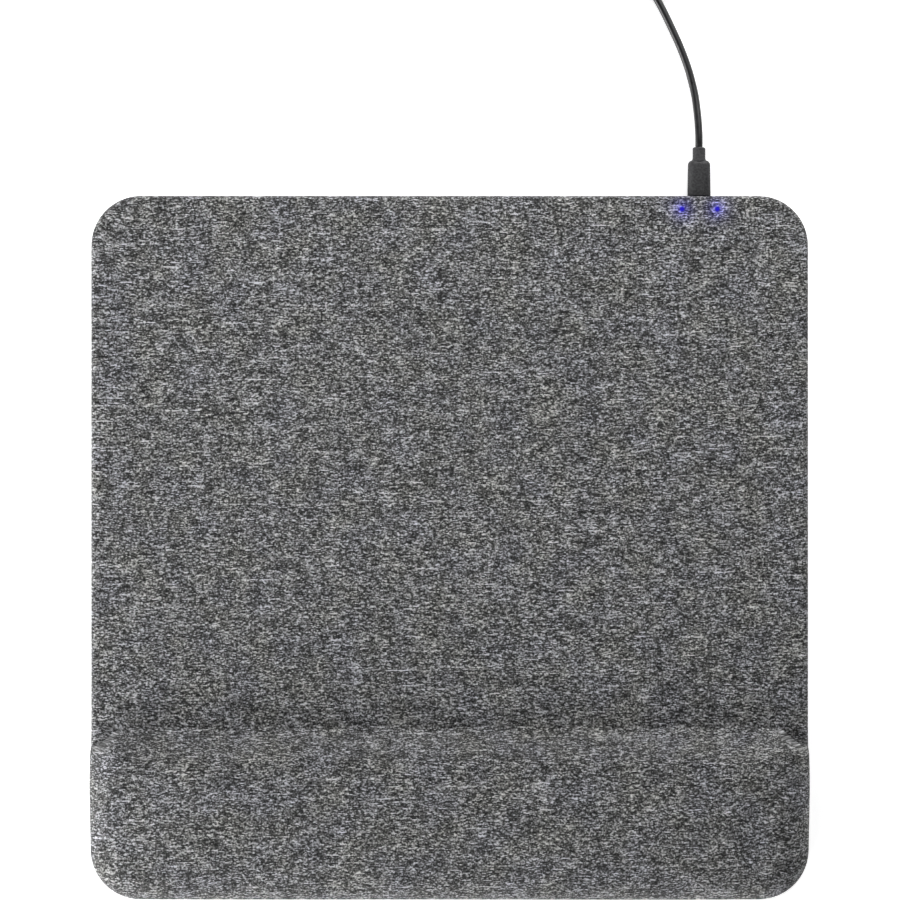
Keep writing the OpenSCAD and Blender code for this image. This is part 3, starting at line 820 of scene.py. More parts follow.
@dataclass
class KnitCover:
    """One sheet of knit, stretched over the flat area and the rest and turned under all round.

    The cloth simulation's pressure, frames and cap only swell the rest. The allowance is what the
    flat sheet has over the pad's plan, across and along. The uv is each vertex's flat place.
    """

    form: PadForm
    window: tuple[Vector, Vector]
    finish: Knit
    pressure: float = 1.3
    frames: int = 14
    cap: float = 1.6 * MM
    allowance: tuple[float, float] = (40 * MM, 52 * MM)
    follow_behind: float = 26 * MM
    follow_ahead: float = 36 * MM
    glued_run: float = 9 * MM
    hem_run: float = 5 * MM
    uv: dict[Vert, Vector] = field(default_factory=dict)

    def columns(self) -> list[float]:
        """X places of the grid's columns, closer together at the round corners."""
        reach = self.form.half_w - self.form.edge_r
        close = self.form.half_w - self.form.corner_r - 3 * MM
        return stations(-reach, (-close, 14), (close, 36), (reach, 14))

    def rows(self) -> list[float]:
        """Y places of the grid's rows, closer together at the round corners and at the crease."""
        form = self.form
        reach = form.half_d - form.edge_r
        close = form.half_d - form.corner_r - 3 * MM
        crease = form.rest_y
        return stations(-reach, (-close, 14), (crease - 20 * MM, 10), (crease - 2.4 * MM, 13),
                        (crease - 0.15 * MM, 8), (crease, 1), (crease + 0.4 * MM, 1), (crease + 2 * MM, 4),
                        (crease + 12 * MM, 6), (crease + 40 * MM, 6), (close, 16), (reach, 14))

    def follow_crease(self, x: float, y: float) -> float:
        """Moves a row's y so that the rows near the crease run along it."""
        form = self.form
        reach = self.follow_behind if y > form.rest_y else self.follow_ahead
        return y + (form.crease(x) - form.rest_y) * ease(1 - abs(y - form.rest_y) / reach)

    def lay_top(self, mesh: Mesh) -> list[list[Vert]]:
        """Lays a grid over the pad's upper surface.

        Args:
            mesh: The bmesh that the grid is added to.

        Returns:
            The grid's vertices, row by row from the front.
        """
        xs, ys = self.columns(), self.rows()
        made = grid_verts(mesh, len(xs), len(ys))
        grid = [made[k * len(xs):(k + 1) * len(xs)] for k in range(len(ys))]
        for y, row in zip(ys, grid):
            for x, vert in zip(xs, row):
                px, py = self.form.into_corner(x, self.follow_crease(x, y), self.form.edge_r)
                vert.co = (px, py, self.form.top(px, py))
        self.measure_grid(grid)
        return grid

    def measure_grid(self, grid: list[list[Vert]]) -> None:
        """Gives each vertex its place on the flat cut: rows straight across, lengths over the rest."""
        middle = len(grid[0]) // 2
        column = [row[middle].co for row in grid][::-1]
        places = [column[0].y]
        for last, co in zip(column, column[1:]):
            places.append(places[-1] - math.hypot(co.y - last.y, co.z - last.z))
        for row in grid:
            over = row[middle].co.y < self.form.rest_y - 0.01 * MM
            for order, sign in ((row[middle:], 1), (row[middle::-1], -1)):
                run = order[0].co.x
                for last, vert in zip([order[0], *order], order):
                    step = vert.co - last.co
                    run += sign * math.hypot(step.x, step.z if over else 0.0)
                    k = next((k for k, co in enumerate(column) if co.y <= vert.co.y), len(column) - 1)
                    k = max(1, k)
                    share = (vert.co.y - column[k].y) / (column[k - 1].y - column[k].y)
                    self.uv[vert] = Vector((run, places[k] + (places[k - 1] - places[k]) * share))

    def side_steps(self) -> list[tuple[float, float, float]]:
        """Steps down the rounded top edge.

        Returns:
            For each step its distance in from the outline, its height along the flat area and its
            share of the rest's height at the side.
        """
        form = self.form
        steps = []
        for k in range(1, 7):
            angle = math.radians(90 - 15 * k)
            inset = form.edge_r * (1 - math.cos(angle))
            share = form.side_rise(inset) / form.side_rise(form.edge_r)
            steps.append((inset, form.flat_z - form.edge_r * (1 - math.sin(angle)), share))
        return steps

    def lay_side(self, mesh: Mesh) -> None:
        """Extrudes the grid's border down the sides and under the pad, one ring at a time."""
        form = self.form
        border = [edge for edge in mesh.edges if edge.is_boundary]
        full = form.rest_top(form.half_w - form.edge_r, (form.rest_y - form.half_d) / 2)
        facts = {}
        for edge in border:
            for vert in edge.verts:
                x, y, z = vert.co
                restness = ease((z - form.flat_z) / (full - form.flat_z))
                facts[vert] = (vert.co.copy(), form.outward(x, y), restness)
        side_foot = form.hem_z + form.foot_r
        rings = [(inset, flat, ("share", share)) for inset, flat, share in self.side_steps()]
        flat_side, rest_side = form.flat_z - form.edge_r, form.side_z
        for k in (1, 2, 3):
            t = k / 3
            rest = rest_side + (side_foot - rest_side) * t
            rings.append((0.0, flat_side + (side_foot - flat_side) * t, ("height", rest)))
        for k in (1, 2, 3):
            angle = math.radians(30 * k)
            drop = side_foot - form.foot_r * math.sin(angle)
            rings.append((form.foot_r * (1 - math.cos(angle)), drop, ("height", drop)))
        for inset in (3 * MM, 7 * MM, form.hem_w):
            rings.append((inset, form.hem_z, ("height", form.hem_z)))
        for inset, flat, (kind, rest) in rings:
            made = bmesh.ops.extrude_edge_only(mesh, edges=border)["geom"]
            fresh = set(verts_in(made))
            border = [e for e in made if isinstance(e, Edge) and fresh.issuperset(e.verts)]
            found = {}
            for vert in fresh:
                old = next(e.other_vert(vert) for e in vert.link_edges if e.other_vert(vert) in facts)
                base, out, restness = facts[old]
                rest_height = form.side_z + (base.z - form.side_z) * rest if kind == "share" else rest
                height = flat + (rest_height - flat) * restness
                if kind == "share":
                    height -= rest * max(0.0, form.flat_z - base.z)
                bulge = form.bulge(base.y) if height > form.hem_z else 0.0
                place = base + out * (form.edge_r - inset + bulge)
                vert.co = (place.x, place.y, height)
                self.uv[vert] = self.uv[old] + Vector((out.x, out.y)) * (vert.co - old.co).length
                found[vert] = (base, out, restness)
            facts = found

    def write_uv(self, mesh: Mesh) -> None:
        """Writes the flat cut's places to a UV map in metres."""
        layer = mesh.loops.layers.uv.new("cut")
        for face in mesh.faces:
            for loop in face.loops:
                loop[layer].uv = self.uv[loop.vert]

    def open_window(self, piece: Piece) -> None:
        """Cuts the window for the port in the rear side and turns its edge in."""
        low, high = self.window
        mesh = bmesh.new()
        mesh.from_mesh(piece.data)
        near = 3 * MM
        wall = self.form.half_d - 1 * MM

        def by_port(vert: Vert) -> bool:
            """Whether a vertex is on the rear side close to the port."""
            return vert.co.y > wall and low.x - near < vert.co.x < high.x + near

        for point, normal in ((low, (1, 0, 0)), (high, (1, 0, 0)), (low, (0, 0, 1)), (high, (0, 0, 1))):
            faces = [f for f in mesh.faces if all(by_port(v) for v in f.verts)]
            edges = {e for f in faces for e in f.edges}
            bmesh.ops.bisect_plane(mesh, geom=faces + list(edges), plane_co=point, plane_no=normal,
                                   dist=0.01 * MM)

        def in_window(place: Vector) -> bool:
            """Whether a face's middle is inside the window."""
            return place.y > wall and low.x < place.x < high.x and low.z < place.z < high.z

        out = [f for f in mesh.faces if in_window(f.calc_center_median())]
        bmesh.ops.delete(mesh, geom=out, context="FACES")
        rim = [e for e in mesh.edges if e.is_boundary and all(by_port(v) for v in e.verts)]
        turned = bmesh.ops.extrude_edge_only(mesh, edges=rim)["geom"]
        bmesh.ops.translate(mesh, verts=verts_in(turned), vec=(0, -CLOTH, 0))
        mesh.to_mesh(piece.data)
        mesh.free()

    def freedom(self, place: Vector) -> float:
        """How free the cloth is: 1 in the middle of the rest, 0 where it is glued or lies flat."""
        form = self.form
        ahead = (form.crease(place.x) - place.y) / self.glued_run
        return ease(ahead) * ease((place.z - form.hem_z - 1 * MM) / self.hem_run)

    def puff(self, cover: Piece) -> None:
        """Swells the cloth over the rest a little with a cloth simulation, as the foam under it does.

        Args:
            cover: The cover before its subdivision.
        """
        scene = bpy.context.scene
        before = [v.co.copy() for v in cover.data.vertices]
        held, pressed = cover.vertex_groups.new(name="held"), cover.vertex_groups.new(name="pressed")
        for index, place in enumerate(before):
            held.add([index], 1 - self.freedom(place), "REPLACE")
            pressed.add([index], 0.6 + 0.9 * noise.noise(place * 24 + Vector((3.1, 0, 0))), "REPLACE")
        cloth = add_modifier(cover, "CLOTH").settings
        cloth.quality, cloth.mass = 4, 0.15
        cloth.tension_stiffness = cloth.compression_stiffness = 12
        cloth.shear_stiffness, cloth.bending_stiffness = 4, 0.4
        cloth.vertex_group_mass, cloth.vertex_group_pressure = "held", "pressed"
        cloth.use_pressure, cloth.uniform_pressure_force = True, self.pressure
        cloth.effector_weights.gravity = 0
        for frame_number in range(1, self.frames + 1):
            scene.frame_set(frame_number)
        evaluated = cover.evaluated_get(bpy.context.evaluated_depsgraph_get())
        moved = [v.co.copy() for v in evaluated.data.vertices]
        cover.modifiers.clear()
        most = 0.0
        outward = [v.normal.copy() for v in cover.data.vertices]
        for vert, old, new, out in zip(cover.data.vertices, before, moved, outward):
            step = out * max(0.0, (new - old).dot(out))
            most = max(most, step.length)
            vert.co = old + step * (min(1.0, self.cap / step.length) if step.length > 0 else 0.0)
        cover.vertex_groups.clear()
        scene.frame_set(1)
        LOG.info("cover: the cloth moved up to %.2f mm", most / MM)

    def build(self) -> Piece:
        mesh = bmesh.new()
        self.lay_top(mesh)
        self.lay_side(mesh)
        self.write_uv(mesh)
        bmesh.ops.recalc_face_normals(mesh, faces=mesh.faces)
        cover = make_object("knit_cover", mesh)
        self.puff(cover)
        add_modifier(cover, "SUBSURF", levels=1, render_levels=1)
        apply_modifiers(cover)
        self.open_window(cover)
        cover.data.polygons.foreach_set("use_smooth", [True] * len(cover.data.polygons))
        declare(cover, self.finish, Body.PAD, "cover_knit", "fabric_cover")
        LOG.info("cover: %d faces", len(cover.data.polygons))
        return cover


@dataclass
class PadLayers:
    """What lies under the cover: the rest's foam, the thin foam sheet and the rubber sheet underneath."""

    form: PadForm
    core_gap: float = 1.3 * MM
    core_reach: float = 1.1 * MM
    core_under: float = 0.5 * MM
    core_follow: float = 36 * MM

    def plate(self, name: str, node: str, corner_r: float, rear_only: bool, soften: float) -> Piece:
        """Makes a flat plate with round corners in a node's box.

        Args:
            name: The piece's name.
            node: The CAD node whose box it fills.
            corner_r: Radius of its corners in plan.
            rear_only: Whether only its rear corners are round.
            soften: Width of the rounding along its lower edge.

        Returns:
            The plate.
        """
        low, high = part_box(node)
        mesh = bmesh.new()
        bmesh.ops.create_grid(mesh, x_segments=1, y_segments=1, size=1.0)
        for vert in mesh.verts:
            vert.co = (low.x if vert.co.x < 0 else high.x, low.y if vert.co.y < 0 else high.y, high.z)
        corners = [v for v in mesh.verts if v.co.y > 0 or not rear_only]
        bevel(mesh, corners, corner_r, 12, affect="VERTICES")
        top = list(mesh.faces)
        made = bmesh.ops.extrude_face_region(mesh, geom=top, use_keep_orig=True)["geom"]
        bmesh.ops.translate(mesh, verts=verts_in(made), vec=(0, 0, low.z - high.z))
        bmesh.ops.recalc_face_normals(mesh, faces=mesh.faces)
        foot = [e for e in edges_at(mesh, 2, low.z) if len(e.link_faces) == 2]
        bevel(mesh, foot, soften, 3)
        return make_object(name, mesh, smooth=False)

    def build(self) -> list[Piece]:
        """Makes and dresses the three layers."""
        corner_r = self.form.corner_r - 4 * MM
        sheet = self.plate("surface_sheet", "surface_foam", corner_r, True, 0.15 * MM)
        rubber = self.plate("rubber_sheet", "rubber_base", corner_r, False, 0.3 * MM)
        core = self.core()
        sheet_foam = Foam("sheet_foam", colour=(0.36, 0.37, 0.38), pore=0.4 * MM)
        declare(sheet, sheet_foam, Body.PAD, "foam_sheet", "surface_foam")
        declare(rubber, GripRubber("grip_rubber"), Body.PAD, "base_rubber", "rubber_base")
        declare(core, Foam("memory_foam"), Body.PAD, "foam_memory", "wrist_foam")
        LOG.info("layers under the cover: foam sheet, rubber sheet, foam core")
        return [sheet, rubber, core]

    def core_top(self, x: float, y: float, low: float) -> float:
        """Height of the foam at a point, a little down from the lowest cover near it."""
        reach, beside = self.core_reach, (-1, 0, 1)
        near = min(self.form.rest_top(x + i * reach, y + j * reach) for i in beside for j in beside)
        return max(low + self.core_under, near - self.core_under)

    def core(self) -> Piece:
        """Makes the rest's foam core: crowned above, round at its front corners and flat below."""
        form, low = self.form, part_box("wrist_foam")[0].z
        gap = self.core_gap
        xs = stations(gap - form.half_w, (form.corner_r - form.half_w, 9), (form.half_w - form.corner_r, 50),
                      (form.half_w - gap, 9))
        ys = stations(gap - form.half_d, (form.corner_r - form.half_d, 9), (form.rest_y - 8 * MM, 14),
                      (form.rest_y - gap, 6))
        mesh = bmesh.new()
        made = grid_verts(mesh, len(xs), len(ys))
        for k, vert in enumerate(made):
            x, y = form.into_corner(xs[k % len(xs)], ys[k // len(xs)], gap)
            y += (form.crease(x) - form.rest_y) * ease(1 - abs(y - form.rest_y) / self.core_follow)
            vert.co = (x, y, self.core_top(x, y, low))
        rim = bmesh.ops.extrude_edge_only(mesh, edges=[e for e in mesh.edges if e.is_boundary])["geom"]
        for vert in verts_in(rim):
            vert.co.z = low
        base = [e for e in mesh.edges if e.is_boundary]
        bmesh.ops.contextual_create(mesh, geom=base)
        bmesh.ops.triangulate(mesh, faces=[f for f in mesh.faces if len(f.verts) > 4])
        bmesh.ops.recalc_face_normals(mesh, faces=mesh.faces)
        return make_object("wrist_core", mesh)


# ---------------------------------------------------------------- the cable


LEAD_ROUTE = [(0.1052, 0.1686, 0.0048), (0.1052, 0.172, 0.0048), (0.1051, 0.176, 0.0044),
              (0.1048, 0.181, 0.0037), (0.1043, 0.186, 0.0028), (0.1036, 0.191, 0.0021),
              (0.1025, 0.196, 0.0017), (0.101, 0.2015, 0.0016), (0.0991, 0.207, 0.0016),
              (0.0969, 0.2125, 0.0016), (0.0944, 0.218, 0.0016), (0.0918, 0.2235, 0.0016),
              (0.089, 0.229, 0.0016), (0.0859, 0.2343, 0.0016), (0.0823, 0.2393, 0.0016),
              (0.0781, 0.2439, 0.0016), (0.0736, 0.2479, 0.0016), (0.0689, 0.2516, 0.0018),
              (0.0651, 0.2556, 0.0021), (0.0623, 0.2602, 0.0024)]
TAIL_ROUTE = [(0.088, 0.2874, 0.0116), (0.0922, 0.2868, 0.0101), (0.0962, 0.2859, 0.0082),
              (0.1001, 0.2848, 0.0063), (0.104, 0.2835, 0.005), (0.108, 0.2819, 0.0042), (0.112, 0.28, 0.004)]
CHARGER_PLUG_AT = Vector(TAIL_ROUTE[-1])
CHARGER_PLUG_TURN = math.radians(-30)


GRIP_VINYL = Moulded("grip_vinyl", colour=(0.21, 0.21, 0.215), rough=0.6, grain=0.4 * MM, depth=0.07 * MM,
                     shine=0.3, mottle=0.9 * MM, uneven=0.16)


@dataclass
class StoredCoil:
    """The wound part of the cable: layers of turns laid out and back on each other.

    A full circle takes steps points, and each seat takes slot_steps of them. The last ones cross
    over to the next seat. The waver keeps the turns from looking machined.
    """

    centre: Vector
    radius: float = 19 * MM
    pitch: float = 3.25 * MM
    across: int = 3
    layers: int = 4
    steps: int = 16
    slot_steps: int = 15
    base_z: float = 2.45 * MM
    cross_steps: float = 2.5
    waver: float = 0.1 * MM

    def seats(self) -> list[tuple[float, float]]:
        """Radius and height of each turn, in the order in which it is wound."""
        found = []
        for layer in range(self.layers):
            order = range(self.across) if layer % 2 == 0 else reversed(range(self.across))
            for column in order:
                found.append((self.radius + (1 - column) * self.pitch, self.base_z + layer * self.pitch))
        return found

    def points(self) -> list[Vector]:
        """Points of the wound cable, clockwise from the left side to the rear."""
        seats = self.seats()
        made = []
        for n in range(self.slot_steps * len(seats) + 1):
            slot = min(n // self.slot_steps, len(seats) - 1)
            done = n - slot * self.slot_steps
            cross = ease((done - (self.slot_steps - self.cross_steps)) / self.cross_steps)
            here, there = seats[slot], seats[min(slot + 1, len(seats) - 1)]
            radius = here[0] + (there[0] - here[0]) * cross + self.waver * math.sin(2.7 * n)
            height = here[1] + (there[1] - here[1]) * cross
            angle = math.pi - 2 * math.pi * n / self.steps
            made.append(self.centre + Vector((radius * math.cos(angle), radius * math.sin(angle), height)))
        return made


@dataclass
class Cable:
    """The flexible cable from the small plug to the charger's plug, its unseen length wound and tied."""

    diameter: float = 3.2 * MM
    length: float = 1.5

    def coil(self) -> StoredCoil:
        """The stored coil, centred where the frame has it."""
        return StoredCoil(coil_foot())

    def build(self) -> Piece:
        """Makes the cable as one curve and returns it."""
        start = Vector(LEAD_ROUTE[0]) - Vector((0, 4 * MM, 0))
        ahead = Vector((math.cos(CHARGER_PLUG_TURN), math.sin(CHARGER_PLUG_TURN), 0))
        end = CHARGER_PLUG_AT + ahead * 5 * MM
        points = [start, *map(Vector, LEAD_ROUTE), *self.coil().points(), *map(Vector, TAIL_ROUTE), end]
        curve = bpy.data.curves.new("cable", "CURVE")
        curve.dimensions = "3D"
        curve.resolution_u = 5
        curve.bevel_depth = self.diameter / 2
        curve.bevel_resolution = 4
        curve.use_fill_caps = True
        spline = curve.splines.new("BEZIER")
        spline.bezier_points.add(len(points) - 1)
        for knot, point in zip(spline.bezier_points, points):
            knot.co = point
            knot.handle_left_type = knot.handle_right_type = "AUTO"
        cable = bpy.data.objects.new("cable", curve)
        bpy.context.scene.collection.objects.link(cable)
        declare(cable, Vinyl("cable_jacket"), Body.CABLE, "cord_vinyl", "cord_lead", "cord_coil", "cord_tail")
        LOG.info("cable: %d points", len(points))
        return cable

    def declare(self, cable: Piece, pieces: Sequence[Piece]) -> None:
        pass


@dataclass
class CableTie:
    """Hook-and-loop strap closed round the stored turns, with its free end pressed down on the outside."""

    width: float = 10 * MM
    thick: float = 0.8 * MM
    turn: float = math.radians(-50)

    def place(self) -> Matrix:
        """Frame of the strap: X out of the coil, Y along the turns."""
        return Matrix.Translation(coil_foot()) @ Matrix.Rotation(self.turn, 4, "Z")

    def widen(self, mesh: Mesh, edges: Sequence[Edge]) -> None:
        """Draws an outline out to the strap's width."""
        made = bmesh.ops.extrude_edge_only(mesh, edges=edges)["geom"]
        bmesh.ops.translate(mesh, verts=verts_in(made), vec=(0, self.width, 0))

    def build(self) -> Piece:
        """Makes the strap and returns it."""
        coil = StoredCoil(Vector((0, 0, 0)))
        wide = (coil.across - 1) * coil.pitch + 3.2 * MM
        near, far = coil.radius - wide / 2 - 1.1 * MM, coil.radius + wide / 2 + 0.25 * MM
        low, high = self.thick, coil.base_z + (coil.layers - 1) * coil.pitch + 1.75 * MM
        mesh = bmesh.new()
        around = ((near, low), (far, low), (far, high), (near, high))
        corners = [mesh.verts.new((x, -self.width / 2, z)) for x, z in around]
        for a, b in zip(corners, corners[1:] + corners[:1]):
            mesh.edges.new((a, b))
        bevel(mesh, corners, 1.5 * MM, 5, affect="VERTICES")
        self.widen(mesh, list(mesh.edges))
        bmesh.ops.recalc_face_normals(mesh, faces=mesh.faces)
        outside = far + self.thick + 0.05 * MM
        flap = stations(low + 2.2 * MM, (high - 1.4 * MM, 6))
        lift = 0.5 * MM
        rail = [mesh.verts.new((outside + lift * (k / 6) ** 3, -self.width / 2, z))
                for k, z in enumerate(flap)]
        self.widen(mesh, [mesh.edges.new(pair) for pair in zip(rail, rail[1:])])
        for face in mesh.faces:
            face.normal_update()
            middle = face.calc_center_median() - Vector(((near + far) / 2, 0, (low + high) / 2))
            if face.normal.dot(middle) < 0:
                face.normal_flip()
        mesh.transform(self.place())
        tie = make_object("cable_tie_strap", mesh)
        add_modifier(tie, "SOLIDIFY", thickness=self.thick, offset=1.0)
        add_modifier(tie, "BEVEL", width=0.2 * MM, segments=2, limit_method="ANGLE")
        apply_modifiers(tie)
        declare(tie, HookTape("hook_tape"), Body.CABLE, "tie_hook", "cable_tie")
        return tie


@dataclass
class SmallPlug:
    """Moulded grip and stepped neck of the plug that is pushed into the pad."""

    taper: float = 0.96
    side_r: float = 3.0 * MM
    shoulder_r: float = 2.0 * MM

    def grip(self) -> Piece:
        """Makes the grip: a rounded block, a little narrower at its rear."""
        low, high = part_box("plug_grip")
        mesh = bmesh.new()
        bmesh.ops.create_cube(mesh, size=1.0)
        size, centre = high - low, (low + high) / 2
        for vert in mesh.verts:
            narrow = self.taper if vert.co.y > 0 else 1.0
            vert.co = centre + Vector((vert.co.x * size.x * narrow, vert.co.y * size.y, vert.co.z * size.z))
        bevel(mesh, edges_along(mesh, size.y / 2), self.side_r, 7)
        bevel(mesh, edges_at(mesh, 1, high.y), self.shoulder_r, 7)
        bevel(mesh, edges_at(mesh, 1, low.y), 0.25 * MM, 3)
        bmesh.ops.recalc_face_normals(mesh, faces=mesh.faces)
        return make_object("small_plug_grip", mesh)

    def neck(self) -> Piece:
        """Makes the neck: a short round sleeve with a rounded rim and a hollow where the cable enters."""
        low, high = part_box("plug_strain_relief")
        r, long, rim, bore = (high.x - low.x) / 2, high.y - low.y, 0.8 * MM, 1.7 * MM
        arc = [(r - rim + rim * math.cos(a), long - rim + rim * math.sin(a))
               for a in (math.radians(15 * k) for k in range(7))]
        deep, flare = 1.5 * MM, 0.25 * MM
        profile = [(0, -deep), (r + flare, -deep), (r + flare, 0.1 * MM), (r, 0.6 * MM), *arc,
                   (bore + 0.15 * MM, long), (bore, long - 0.3 * MM), (bore, long - deep), (0, long - deep)]
        place = Matrix.Translation(Vector(((low.x + high.x) / 2, low.y, (low.z + high.z) / 2)))
        return spin_profile("small_plug_neck", profile, place)

    def build(self) -> list[Piece]:
        """Makes, dresses and places both pieces."""
        grip, neck = self.grip(), self.neck()
        for piece, node in ((grip, "plug_grip"), (neck, "plug_strain_relief")):
            declare(piece, GRIP_VINYL, Body.CABLE, "grip_vinyl", node)
        return [grip, neck]


@dataclass
class ChargerPlug:
    """Grip and ribbed strain relief of the plug that goes to the charger."""

    relief_l: float = 10 * MM
    size: Vector = field(default_factory=lambda: Vector((16, 22, 8)) * MM)

    def place(self) -> Matrix:
        """Frame with its origin at the cable's end and +Y towards the plug's tip."""
        return Matrix.Translation(CHARGER_PLUG_AT) @ Matrix.Rotation(CHARGER_PLUG_TURN - math.pi / 2, 4, "Z")

    def grip(self) -> Piece:
        """Makes the grip with three shallow finger ribs on each broad face."""
        size = self.size
        mesh = bmesh.new()
        bmesh.ops.create_cube(mesh, size=1.0)
        for vert in mesh.verts:
            vert.co = (vert.co.x * size.x, (vert.co.y + 0.5) * size.y, vert.co.z * size.z)
        bevel(mesh, edges_along(mesh, size.y / 2), 1.8 * MM, 5)
        bevel(mesh, edges_at(mesh, 1, 0.0), 2.0 * MM, 5)
        bevel(mesh, edges_at(mesh, 1, size.y), 0.5 * MM, 3)
        starts = (6.4, 9.4, 12.4)
        for y in (y + side for y in starts for side in (0, 1)):
            bmesh.ops.bisect_plane(mesh, geom=[*mesh.verts, *mesh.edges, *mesh.faces],
                                   plane_co=(0, y * MM, 0), plane_no=(0, 1, 0), dist=0.001 * MM)
        ribs = [f for f in mesh.faces if abs(f.normal.z) > 0.99
                and any(y * MM < f.calc_center_median().y < (y + 1) * MM for y in starts)]
        for rib in ribs:
            bmesh.ops.inset_region(mesh, faces=[rib], thickness=0.25 * MM, depth=-0.35 * MM,
                                   use_even_offset=True)
        bmesh.ops.recalc_face_normals(mesh, faces=mesh.faces)
        mesh.transform(Matrix.Translation((0, self.relief_l, 0)))
        mesh.transform(self.place())
        return make_object("charger_plug_body", mesh)

    def relief(self) -> Piece:
        """Makes the tapered strain relief with four rings."""
        outline = [(0, 0.6 * MM), (1.75 * MM, 0.6 * MM), (1.75 * MM, 0), (2.2 * MM, 0)]
        ring = ((0.0, 0.0), (0.05, 1.2), (-0.45, 1.4), (-0.4, 2.0))
        for k in range(4):
            y = (1.0 + 2.2 * k) * MM
            r = 2.3 * MM + 1.05 * MM * k / 3
            outline += [(r + out * MM, y + along * MM) for out, along in ring]
        root_r, root_y = 3.5 * MM, self.relief_l + 1 * MM
        outline += [(root_r, self.relief_l), (root_r, root_y), (0, root_y)]
        relief = spin_profile("charger_plug_relief", outline, self.place())
        add_modifier(relief, "BEVEL", width=0.12 * MM, segments=2, limit_method="ANGLE",
                     angle_limit=math.radians(40))
        return relief

    def build(self) -> list[Piece]:
        """Makes, dresses and places both pieces."""
        grip, relief = self.grip(), self.relief()
        for piece, node in ((grip, "charger_plug_grip"), (relief, "charger_plug_strain_relief")):
            declare(piece, GRIP_VINYL, Body.CABLE, "grip_vinyl", node)
        return [grip, relief]


# ---------------------------------------------------------------- carried-over nodes


@dataclass
class FrameDress:
    """Gives every node that stays from the frame its finish."""

    coil_centre: Vector

    def finishes(self) -> list[tuple[Finish, tuple[str, ...]]]:
        """Each finish and the nodes that wear it."""
        return [
            (Moulded("tray_plastic", colour=(0.20, 0.20, 0.21), rough=0.6, grain=0.3 * MM), ("base_tray",)),
            (Moulded("pressed_board", colour=(0.26, 0.26, 0.27), rough=0.8, grain=0.5 * MM, depth=0.05 * MM),
             ("top_board",)),
            (Metal("zinc_screws", colour=(0.66, 0.67, 0.69), rough=0.34), ("board_screws", "pcb_screws")),
            (Moulded("port_plastic", colour=(0.11, 0.11, 0.115), rough=0.5, grain=0.18 * MM),
             ("port_bezel",)),
            (Moulded("carrier_plastic", colour=(0.90, 0.90, 0.88), rough=0.5), ("coil_carrier",)),
            (Moulded("sintered_ferrite", colour=(0.27, 0.26, 0.26), rough=0.7, grain=0.12 * MM,
                     depth=0.03 * MM), ("ferrite_plate",)),
            (Strands("stranded_copper", centre=self.coil_centre), ("charging_coil", "coil_leads")),
            (Moulded("sensor_epoxy", colour=(0.13, 0.25, 0.18), rough=0.25, coat=0.5), ("thermistor",)),
            (SolderMask("solder_mask"), ("circuit_board",)),
            (Moulded("chip_epoxy", colour=(0.12, 0.12, 0.13), rough=0.55, grain=0.08 * MM),
             ("controller_chips",)),
            (Moulded("chip_ceramic", colour=(0.62, 0.54, 0.43), rough=0.4, grain=0.08 * MM),
             ("resonant_capacitors", "small_components")),
            (Lamp("light_lens"), ("light_left", "light_right")),
            (Clear("light_guide"), ("light_pipe_left", "light_pipe_right")),
            (Metal("plated_steel", colour=(0.80, 0.81, 0.83), rough=0.26),
             ("receptacle_shell", "plug_shell", "charger_plug_shell")),
            (Metal("gold_contacts", colour=(0.93, 0.75, 0.38), rough=0.24),
             ("receptacle_contacts", "plug_contacts", "charger_plug_contacts")),
            (Moulded("nylon_black", colour=(0.11, 0.11, 0.11), rough=0.45),
             ("receptacle_insulator", "plug_insulator")),
            (Moulded("nylon_white", colour=(0.92, 0.92, 0.90), rough=0.45), ("charger_plug_insulator",)),
        ]

    def build(self) -> None:
        """Dresses the nodes."""
        for finish, names in self.finishes():
            for name in names:
                dress(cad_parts[name], finish)
            LOG.info("%s on %s", finish.name, ", ".join(names))


# ---------------------------------------------------------------- studio


@dataclass(frozen=True)
class SoftBox:
    """One rectangular studio light that points at the pad's middle, raised by lift.

    Azimuth 0 is in front of the pad, 90 is at its right and 180 behind it. Angles are degrees.
    """

    name: str
    azimuth: float
    elevation: float
    away: float
    width: float
    height: float
    power: float
    lift: float = 10 * MM

    def place(self) -> Vector:
        """Where the light stands, from the pad's middle."""
        turn, rise = math.radians(self.azimuth), math.radians(self.elevation)
        flat = math.cos(rise)
        return Vector((math.sin(turn) * flat, -math.cos(turn) * flat, math.sin(rise))) * self.away

    def build(self) -> None:
        """Adds the light."""
        data = bpy.data.lights.new(self.name, "AREA")
        data.shape = "RECTANGLE"
        data.size, data.size_y, data.energy = self.width, self.height, self.power
        made = bpy.data.objects.new(self.name, data)
        made.location = self.place() + Vector((0, 0, self.lift))
        made.rotation_euler = (-self.place()).to_track_quat("-Z", "Y").to_euler()
        bpy.context.scene.collection.objects.link(made)


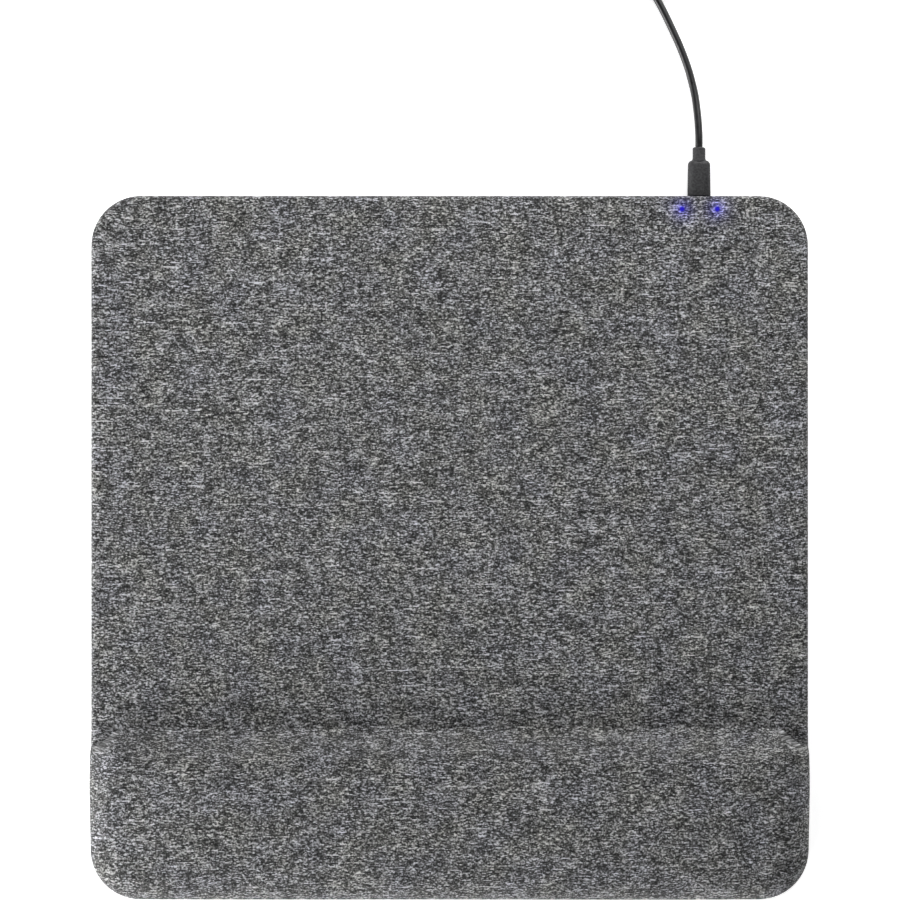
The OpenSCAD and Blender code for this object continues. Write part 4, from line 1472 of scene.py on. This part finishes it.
@dataclass
class Studio:
    """White table, soft boxes and the camera straight above.

    The table gives light of its own, so that it stays white round the pad.
    """

    table_glow: float = 0.63
    table_half: float = 4.0
    room_glow: float = 0.06
    view_w: float = 378.6 * MM
    camera_z: float = 1.6
    aim: Vector = field(default_factory=lambda: Vector((0.15, 40.9, 9.5)) * MM)
    sensor: float = 36.0

    def camera(self) -> None:
        """Adds the camera, looking straight down with the pad's rear edge up."""
        data = bpy.data.cameras.new("camera")
        data.sensor_width = self.sensor
        data.lens = self.sensor * (self.camera_z - self.aim.z) / self.view_w
        data.clip_end = 20
        made = bpy.data.objects.new("camera", data)
        made.location = (self.aim.x, self.aim.y, self.camera_z)
        bpy.context.scene.collection.objects.link(made)
        bpy.context.scene.camera = made

    def boxes(self) -> list[SoftBox]:
        """The soft boxes round the table: low strong ones at the front left, dimmer ones behind."""
        return [
            SoftBox("box_left", 290, 14, 1.2, 0.9, 0.4, 10.2),
            SoftBox("box_front", 325, 14, 1.2, 0.9, 0.4, 11.3),
            SoftBox("box_left_near", 270, 30, 0.75, 0.5, 0.45, 1.0),
            SoftBox("box_rear_near", 180, 26, 0.8, 0.7, 0.35, 2.9),
            SoftBox("box_right_low", 152, 15, 1.2, 0.9, 0.35, 6.0),
            SoftBox("box_right_high", 150, 42, 1.2, 0.9, 0.5, 3.5),
        ]

    def table(self) -> None:
        """Adds the pale table top and the white room."""
        mesh = bmesh.new()
        bmesh.ops.create_grid(mesh, x_segments=2, y_segments=2, size=self.table_half)
        table = make_object("table_top", mesh)
        graph = Graph("table_white")
        fine = graph.noise(graph.place(), 6.0, 2.0)
        white = graph.ramp(fine, (0.3, (0.965, 0.965, 0.965)), (0.7, (0.98, 0.98, 0.98)))
        graph.set(Base_Color=white, Roughness=0.7, Specular_IOR_Level=0.2, Emission_Color=(1, 1, 1, 1),
                  Emission_Strength=self.table_glow)
        table.data.materials.append(graph.made)
        world = bpy.data.worlds.new("room")
        world.use_nodes = True
        colour, strength = world.node_tree.nodes["Background"].inputs[:2]
        colour.default_value, strength.default_value = (1, 1, 1, 1), self.room_glow
        bpy.context.scene.world = world

    def build(self) -> None:
        """Sets up the whole studio."""
        bpy.context.scene.view_settings.view_transform = "Standard"
        for box in self.boxes():
            box.build()
        self.table()


def main() -> None:
    """Builds the pad's looks piece by piece."""
    logging.basicConfig(level=logging.INFO, format="%(name)s: %(message)s")
    studio = Studio()
    studio.camera()
    cable = Cable()
    cord = cable.build()
    small, large, tie = SmallPlug().build(), ChargerPlug().build(), CableTie().build()
    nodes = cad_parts
    metal = [nodes[n] for n in ("plug_shell", "plug_insulator", "plug_contacts", "charger_plug_shell",
                                "charger_plug_insulator", "charger_plug_contacts")]
    cable.declare(cord, [*small, *large, tie, *metal])

    form = PadForm.from_frame()
    lights = tuple(middle_of(node) for node in ("light_pipe_left", "light_pipe_right"))
    PadLayers(form).build()
    KnitCover(form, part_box("port_bezel"), Knit("heather_knit", lights=lights)).build()
    FrameDress(middle_of("charging_coil")).build()
    studio.build()


if __name__ == "__main__":
    main()
